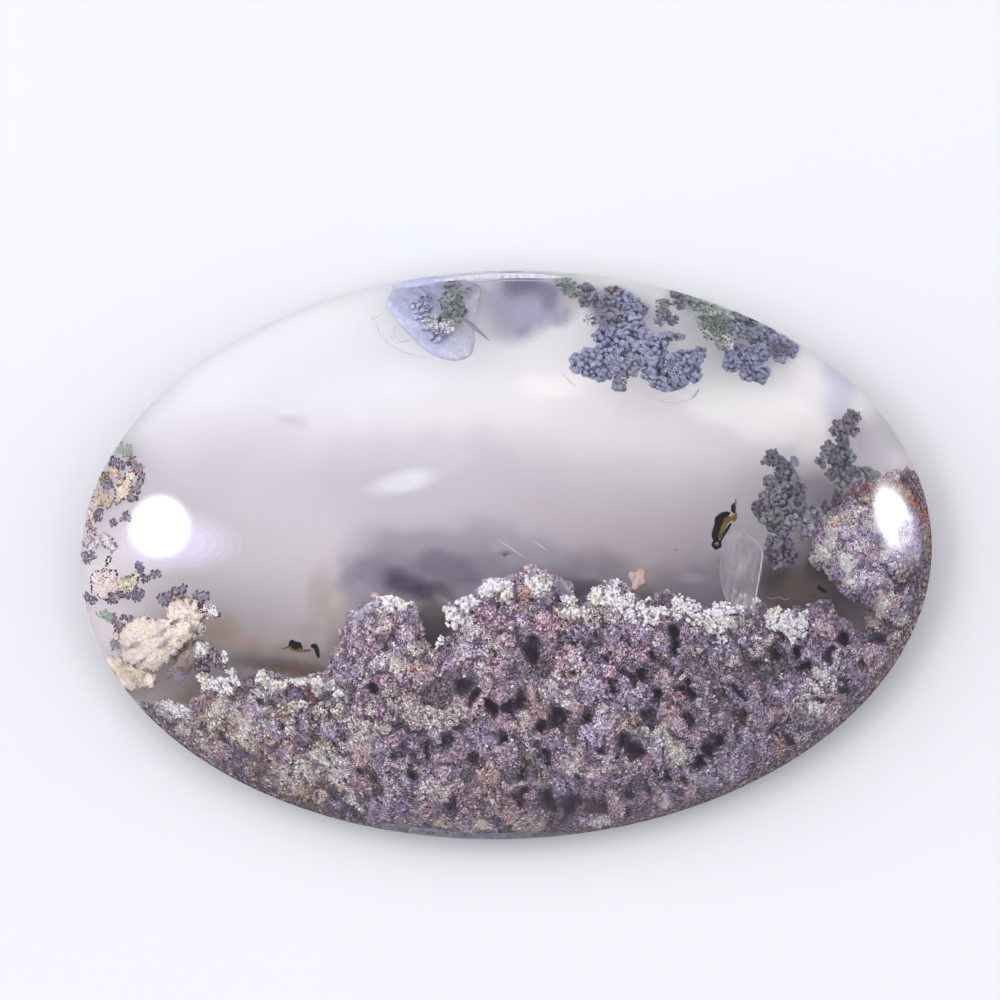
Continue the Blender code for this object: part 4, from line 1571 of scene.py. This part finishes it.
def tube(points, radii, sides=8):
    """A closed tube along points in the stone, as corners and faces."""
    corners, faces = [], []
    for index, (point, radius) in enumerate(zip(points, radii)):
        before, after = points[max(index - 1, 0)], points[min(index + 1, len(points) - 1)]
        forward = (after - before) / np.linalg.norm(after - before)
        side = np.cross(forward, UP)
        side /= np.linalg.norm(side)
        up = np.cross(side, forward)
        for step in range(sides):
            turn = step / sides * 2 * math.pi
            corners.append(point + (side * math.cos(turn) + up * math.sin(turn)) * radius)
    for ring in range(len(points) - 1):
        for step in range(sides):
            a, b = ring * sides + step, ring * sides + (step + 1) % sides
            faces += [(a, b, b + sides), (a, b + sides, a + sides)]
    first, last = len(corners), len(corners) + 1
    corners += [points[0], points[-1]]
    end = (len(points) - 1) * sides
    for step in range(sides):
        following = (step + 1) % sides
        faces += [(first, following, step), (last, end + step, end + following)]
    return np.array(corners), np.array(faces)


# Thin growths: colour, depth in mm, and their course as (x, y, radius) in pixels
THREADS = {
    "curl_black": ("black", 1.0, [
        (730, 513, 1), (727, 514, 2.8), (722, 516, 3.4), (719, 520, 4.6), (718, 525, 3.6), (717, 530, 4.6),
        (715, 535, 3.6), (716, 539, 3.4), (715, 542, 1.6),
    ]),
    "curl_amber": ("amber", 0.9, [
        (737, 513, 0.6), (734, 516, 1.4), (730, 519, 2.1), (726, 522, 1.7), (724, 526, 1.9),
        (722, 531, 1.0), (721, 538, 0.6),
    ]),
    "curl_brown": ("brown", 0.97, [
        (731, 517, 1.4), (727, 520, 2.2), (723, 526, 2.4), (721, 532, 2), (719, 538, 1.4),
    ]),
    "curl_shade": ("black", 0.95, [
        (731, 523, 1), (728, 528, 1.6), (724, 534, 1.5), (721, 540, 1), (720, 544, 0.8),
    ]),
    "curl_stalk": ("olive", 0.9, [
        (736, 499, 0.5), (735.5, 505, 0.8), (735, 512, 1), (736, 518, 1.3), (733, 521, 1.5),
    ]),
    "curl_bulb": ("black", 0.85, [(734, 503, 0.6), (733, 506, 1.9), (733, 510, 2.2), (734, 513, 0.8)]),
    "curl_ring": ("black", 0.95, [
        (714, 541, 1.2), (713, 545, 1.7), (716, 548, 1.8), (720, 546, 1.7), (720, 542, 1.4), (717, 540, 1.2),
    ]),
    "curl_eye": ("olive", 0.95, [(715.5, 544.5, 0.8), (717.5, 545, 1.4), (719, 545, 0.8)]),
    "needle": ("grey_blue", 0.45, [
        (463, 318, 0.6), (467, 321, 2), (474, 327, 2.2), (482, 334, 1.4), (490, 341, 0.3),
    ]),
    "blade_edge": ("pale_lavender", 1.0, [
        (743, 531, 0.5), (753, 539, 0.7), (761, 548, 0.8), (762.5, 556, 0.9), (760, 572, 0.9),
        (756, 594, 0.8), (753, 612, 0.5),
    ]),
    "wavy_line": ("grey", 1.4, [
        (766, 597, 0.2), (772, 599, 0.5), (779, 597, 0.4), (785, 600, 0.5), (790, 598, 0.2),
    ]),
    "dark_fleck": ("black", 1.3, [(818, 587, 1.5), (823, 590, 2.2), (827, 592, 1)]),
    "dark_fleck_low": ("brown", 1.3, [(808, 597, 0.8), (813, 596, 1.6), (818, 594, 0.8)]),
    "fracture_arc": ("faint", 0.7, [
        (652, 389, 0.3), (655, 396, 0.6), (662, 401, 0.8), (674, 402, 0.9), (686, 401, 0.9), (692, 398, 0.8),
    ]),
    "fracture_tip": ("grey_green", 0.7, [(686, 401, 0.4), (692, 398, 0.9), (696, 394, 1.3), (699, 389, 0.4)]),
    "fracture_left": ("faint", 0.7, [(560, 371, 0.2), (566, 377, 0.5), (571, 383, 0.5), (577, 387, 0.2)]),
    "spot_brown": ("black", 0.9, [
        (289, 646, 1), (292, 643, 3.4), (296, 646, 4.2), (299, 644, 2.4), (302, 649, 1),
    ]),
    "spot_tail": ("olive", 0.95, [
        (282, 649, 0.5), (288, 647, 1.2), (294, 650, 1.5), (304, 651, 1.4), (311, 650, 0.8),
    ]),
    "spot_hook": ("black", 0.85, [
        (311, 646, 1.5), (315, 646, 2.6), (317, 650, 2.4), (318, 655, 1.8), (319, 658, 0.8),
    ]),
    "twig_net": ("brown", 0.7, [
        (335, 682, 0.6), (340, 686, 0.9), (345, 690, 0.8), (341, 694, 0.6), (350, 684, 0.5),
    ]),
    "olive_spot": ("olive", 0.15, [(588, 813, 1), (593, 811, 2.4), (598, 812, 1)]),
    "olive_spot_low": ("olive", 0.2, [(475, 810, 0.8), (480, 809, 1.8), (485, 811, 0.8)]),
    "yellow_spot": ("lime_cream", 0.4, [(372, 319, 1), (376, 316, 2.6), (381, 312, 1)]),
    "loop_large": ("faint", 0.9, [
        (376, 322, 0.4), (380, 334, 0.7), (390, 345, 0.8), (404, 352, 0.8), (418, 356, 0.8), (434, 360, 0.4),
    ]),
    "loop_small": ("faint", 0.8, [(396, 326, 0.5), (391, 336, 1.0), (396, 343, 1.1), (410, 340, 0.7)]),
    "window_speck": ("grey", 0.5, [(674.5, 549, 0.5), (676, 550, 1.1), (677.5, 551, 0.5)]),
    "scratch": ("faint", 0.12, [(500, 541, 0.1), (512, 549, 0.3), (524, 557, 0.1)]),
    "scratch_low": ("faint", 0.12, [(533, 541, 0.1), (541, 546, 0.28), (548, 551, 0.1)]),
}


def add_threads():
    """All thin growths as one mesh of tubes."""
    corners, faces, tints, count = [], [], [], 0
    for colour, depth, course in THREADS.values():
        px, py, radii = np.array(course, float).T
        fine = np.linspace(0, len(course) - 1, 6 * len(course))
        steps = np.arange(len(course))
        px, py, radii = (np.interp(fine, steps, values) for values in (px, py, radii))
        points = inside(px, py, depth * MM + radii * PIXEL)
        tube_corners, tube_faces = tube(points, radii * PIXEL)
        corners.append(tube_corners)
        faces.append(tube_faces + count)
        tints.append(np.tile(COLOURS[colour] * MOSS_GAIN, (len(tube_corners), 1)))
        count += len(tube_corners)
    vertices = keep_under_polish(np.concatenate(corners), 0.04 * MM)
    mesh = mesh_from_arrays("threads", vertices, np.concatenate(faces))
    store_tints(mesh, np.concatenate(tints))
    mesh.shade_smooth()
    new_piece("threads", mesh, SKIN)


def add_rim_band(name, first, last, middle, half_width, colour, ticks):
    """A narrow strip just under the polish, along a stretch of the outline, drawn out to its ends."""
    rows, columns = 5, 240
    across = np.linspace(-1, 1, rows)[:, None]
    along = np.linspace(-1, 1, columns)[None]
    taper = (1 - np.abs(along) ** 3) * half_width + 0.0004
    angle = np.radians(np.broadcast_to(first + (last - first) * (along + 1) / 2, (rows, columns)))
    px, py = from_oval((middle + across * taper).ravel(), angle.ravel())
    top = keep_under_polish(inside(px, py, 0.08 * MM), 0.04 * MM)
    low = keep_under_polish(inside(px, py, 0.16 * MM), 0.05 * MM)
    lower_rows = np.repeat(across[:, 0] < 0.3, columns)
    marks = 1 - ticks * lower_rows * (noise(px, py * 0, 1.7, 61) > 0.7)
    tints = COLOURS[colour] * marks[:, None] * CRUST_GAIN
    cells = np.ones((rows - 1, columns - 1), bool)
    add_slab(name, SKIN, top, low, (rows, columns), cells, tints)


def add_rim_bands():
    """Pale strips along the rim at the top of the photograph."""
    add_rim_band("girdle_band", 80.5, 98.5, 0.983, 0.009, "faint", 0.3)
    add_rim_band("girdle_line", 80, 99, 0.9665, 0.002, "periwinkle", 0.1)
    add_rim_band("girdle_film", 97, 104.5, 0.985, 0.012, "lobe_blue", 0.0)


# Camera, light and floor


# The floor's size and how far it lies under the stone, in metres, and its two almost equal tones
FLOOR_SIZE = 3.0
FLOOR_DROP = 0.03 * MM
FLOOR_DARK = (0.376, 0.386, 0.408)
FLOOR_LIGHT = (0.384, 0.394, 0.415)

WORLD_COLOUR = (0.93, 0.92, 1.0, 1)
WORLD_STRENGTH = 0.5


def add_floor():
    """The plain pale floor that the stone lies on."""
    bpy.ops.mesh.primitive_plane_add(size=FLOOR_SIZE, location=(0, 0, -FLOOR_DROP))
    floor = bpy.context.object
    floor.name = "floor"
    material, tree, shader = new_material("pale_floor")
    colour = ramp_node(tree, noise_node(tree, 40, 2), [(0.3, FLOOR_DARK), (0.7, FLOOR_LIGHT)])
    tree.links.new(colour, shader.inputs["Base Color"])
    shader.inputs["Roughness"].default_value = 0.8
    floor.data.materials.append(material)
    floor.visible_glossy = False


def add_world():
    """The even light of the room."""
    world = bpy.data.worlds.new("studio")
    bpy.context.scene.world = world
    world.use_nodes = True
    background = world.node_tree.nodes["Background"]
    background.inputs["Color"].default_value = WORLD_COLOUR
    background.inputs["Strength"].default_value = WORLD_STRENGTH


def place_lamp(name, centre, side, outward, width, height, radiance, shape, colour):
    """An area lamp at a place, its width along side, that shines against outward."""
    light = bpy.data.lights.new(name, "AREA")
    light.shape = shape
    light.size, light.size_y = width, height
    area = width * height * (math.pi / 4 if shape == "ELLIPSE" else 1)
    light.energy = radiance * math.pi * area
    light.color = colour
    lamp = bpy.data.objects.new(name, light)
    bpy.context.scene.collection.objects.link(lamp)
    side, outward = Vector(side).normalized(), Vector(outward).normalized()
    turned = Matrix((side, outward.cross(side), outward)).transposed()
    lamp.matrix_world = Matrix.Translation(Vector(centre)) @ turned.to_4x4()
    return lamp


# Large soft lights: direction, then distance, width and height in metres, and radiance
SOFT_COLOUR = (1, 0.99, 0.98)
SOFT_LIGHTS = {
    "key": ((-0.12, 0.42, 0.9), 0.6, 0.9, 0.7, 2.4),
    "left_soft": ((-0.85, 0.05, 0.55), 0.55, 0.6, 0.6, 4.6),
    "right_soft": ((0.85, 0.0, 0.55), 0.55, 0.6, 0.6, 3.2),
}


def add_soft_lights():
    """One over the side that is the top in the photograph, and one at each end."""
    for name, (outward, distance, width, height, radiance) in SOFT_LIGHTS.items():
        outward = Vector(outward).normalized()
        side = Vector((0, 1, 0)).cross(outward)
        lamp = place_lamp(name, outward * distance, side, outward, width, height, radiance, "RECTANGLE",
                          SOFT_COLOUR)
        lamp.visible_glossy = False


def add_highlight(name, px, py, half_width, half_height, tilt, radiance, colour=(1, 1, 1)):
    """A lamp whose mirror image on the dome is an oval at a pixel of the photograph."""
    turns = np.linspace(0, 2 * math.pi, 48, endpoint=False)
    right, up = half_width * np.cos(turns), half_height * np.sin(turns)
    cos, sin = math.cos(math.radians(tilt)), math.sin(math.radians(tilt))
    points, sight = face_point(px + right * cos - up * sin, py - right * sin - up * cos)
    normals = dome_normal(points[:, 0], points[:, 1])
    mirrored = sight - 2 * np.sum(sight * normals, axis=1, keepdims=True) * normals
    outward = mirrored.mean(axis=0) / np.linalg.norm(mirrored.mean(axis=0))
    start = points.mean(axis=0) + outward * LAMP_DISTANCE
    reach = ((start - points) @ outward) / (mirrored @ outward)
    outline = points + mirrored * reach[:, None]
    centre = outline.mean(axis=0)
    _, spread, axes = np.linalg.svd(outline - centre, full_matrices=False)
    width, height = (float(value) for value in 2 * spread[:2] * math.sqrt(2 / len(turns)))
    lamp = place_lamp(name, centre, axes[0], outward, width, height, radiance, "ELLIPSE", colour)
    lamp.visible_diffuse = False
    lamp.visible_transmission = False
    lamp.visible_volume_scatter = False


# The highlights: x, y, half width, half height, tilt in degrees, colour times strength, and their edge
HIGHLIGHTS = {
    "left": (160, 526, 29, 29.5, 0, (40, 40, 40), "crisp"),
    "right": (892, 516, 16, 31, 16, (36, 36, 38), "blurred"),
    "right_glow": (900, 534, 22, 34, 18, (2.8, 2.7, 4.2), "soft"),
    "middle": (404, 482, 36, 11, 12, (3.8, 4.4, 5.2), "soft"),
    "halo": (173, 541, 52, 29, -4, (4.6, 4.2, 7.2), "soft"),
}

# How a highlight fades out: nested ovals, each with its share of the size and of the strength
EDGES = {
    "crisp": [(1.2, 0.02), (1.13, 0.04), (1.07, 0.06), (1.01, 0.1), (0.95, 0.18), (0.88, 0.6)],
    "blurred": [(1.5, 0.02), (1.36, 0.03), (1.24, 0.05), (1.13, 0.08), (1.03, 0.12), (0.93, 0.2), (0.8, 0.5)],
    "soft": [(1.22, 0.12), (1.08, 0.18), (0.94, 0.22), (0.78, 0.22), (0.6, 0.26)],
}


def add_highlights():
    """All highlights, each of them a nest of lamps."""
    for name, (px, py, half_width, half_height, tilt, strength, edge) in HIGHLIGHTS.items():
        brightest = max(strength)
        colour = tuple(value / brightest for value in strength)
        for index, (size, share) in enumerate(EDGES[edge]):
            add_highlight(f"highlight_{name}_{index}", px, py, half_width * size, half_height * size, tilt,
                          brightest * share, colour)


def add_camera():
    """The camera, straight above the middle of the photograph and turned as the photograph is."""
    camera = bpy.data.objects.new("camera", bpy.data.cameras.new("camera"))
    bpy.context.scene.collection.objects.link(camera)
    camera.data.lens = LENS_MM
    camera.data.sensor_width = SENSOR_MM
    camera.data.clip_start = 0.01
    camera.data.clip_end = 10
    camera.location = (CAMERA_X, CAMERA_Y, CAMERA_HEIGHT)
    camera.rotation_euler = (0, 0, -STONE_TURN)
    bpy.context.scene.camera = camera


# Factors on the colours, so that each kind of growth looks through the stone as in the photograph
MILK_GAIN = np.array([0.72, 0.735, 0.705])
MOSS_GAIN = 0.98
BED_GAIN = np.array([1.74, 1.6, 1.84])
CRUST_GAIN = 1.12
GROWTH_GAIN = 1.15
FAN_GAIN = 1.04

add_clear_body()
add_milk()
add_bed_ground()
add_bed_front()
add_bed_back()
add_bed_edge()
add_clusters()
add_cut_patches()
add_crusts()
add_small_growths()
add_fans()
add_top_lobe()
add_petals()
add_blade()
add_threads()
add_rim_bands()
add_floor()
add_world()
add_soft_lights()
add_highlights()
add_camera()
bpy.context.scene.view_settings.view_transform = "Standard"
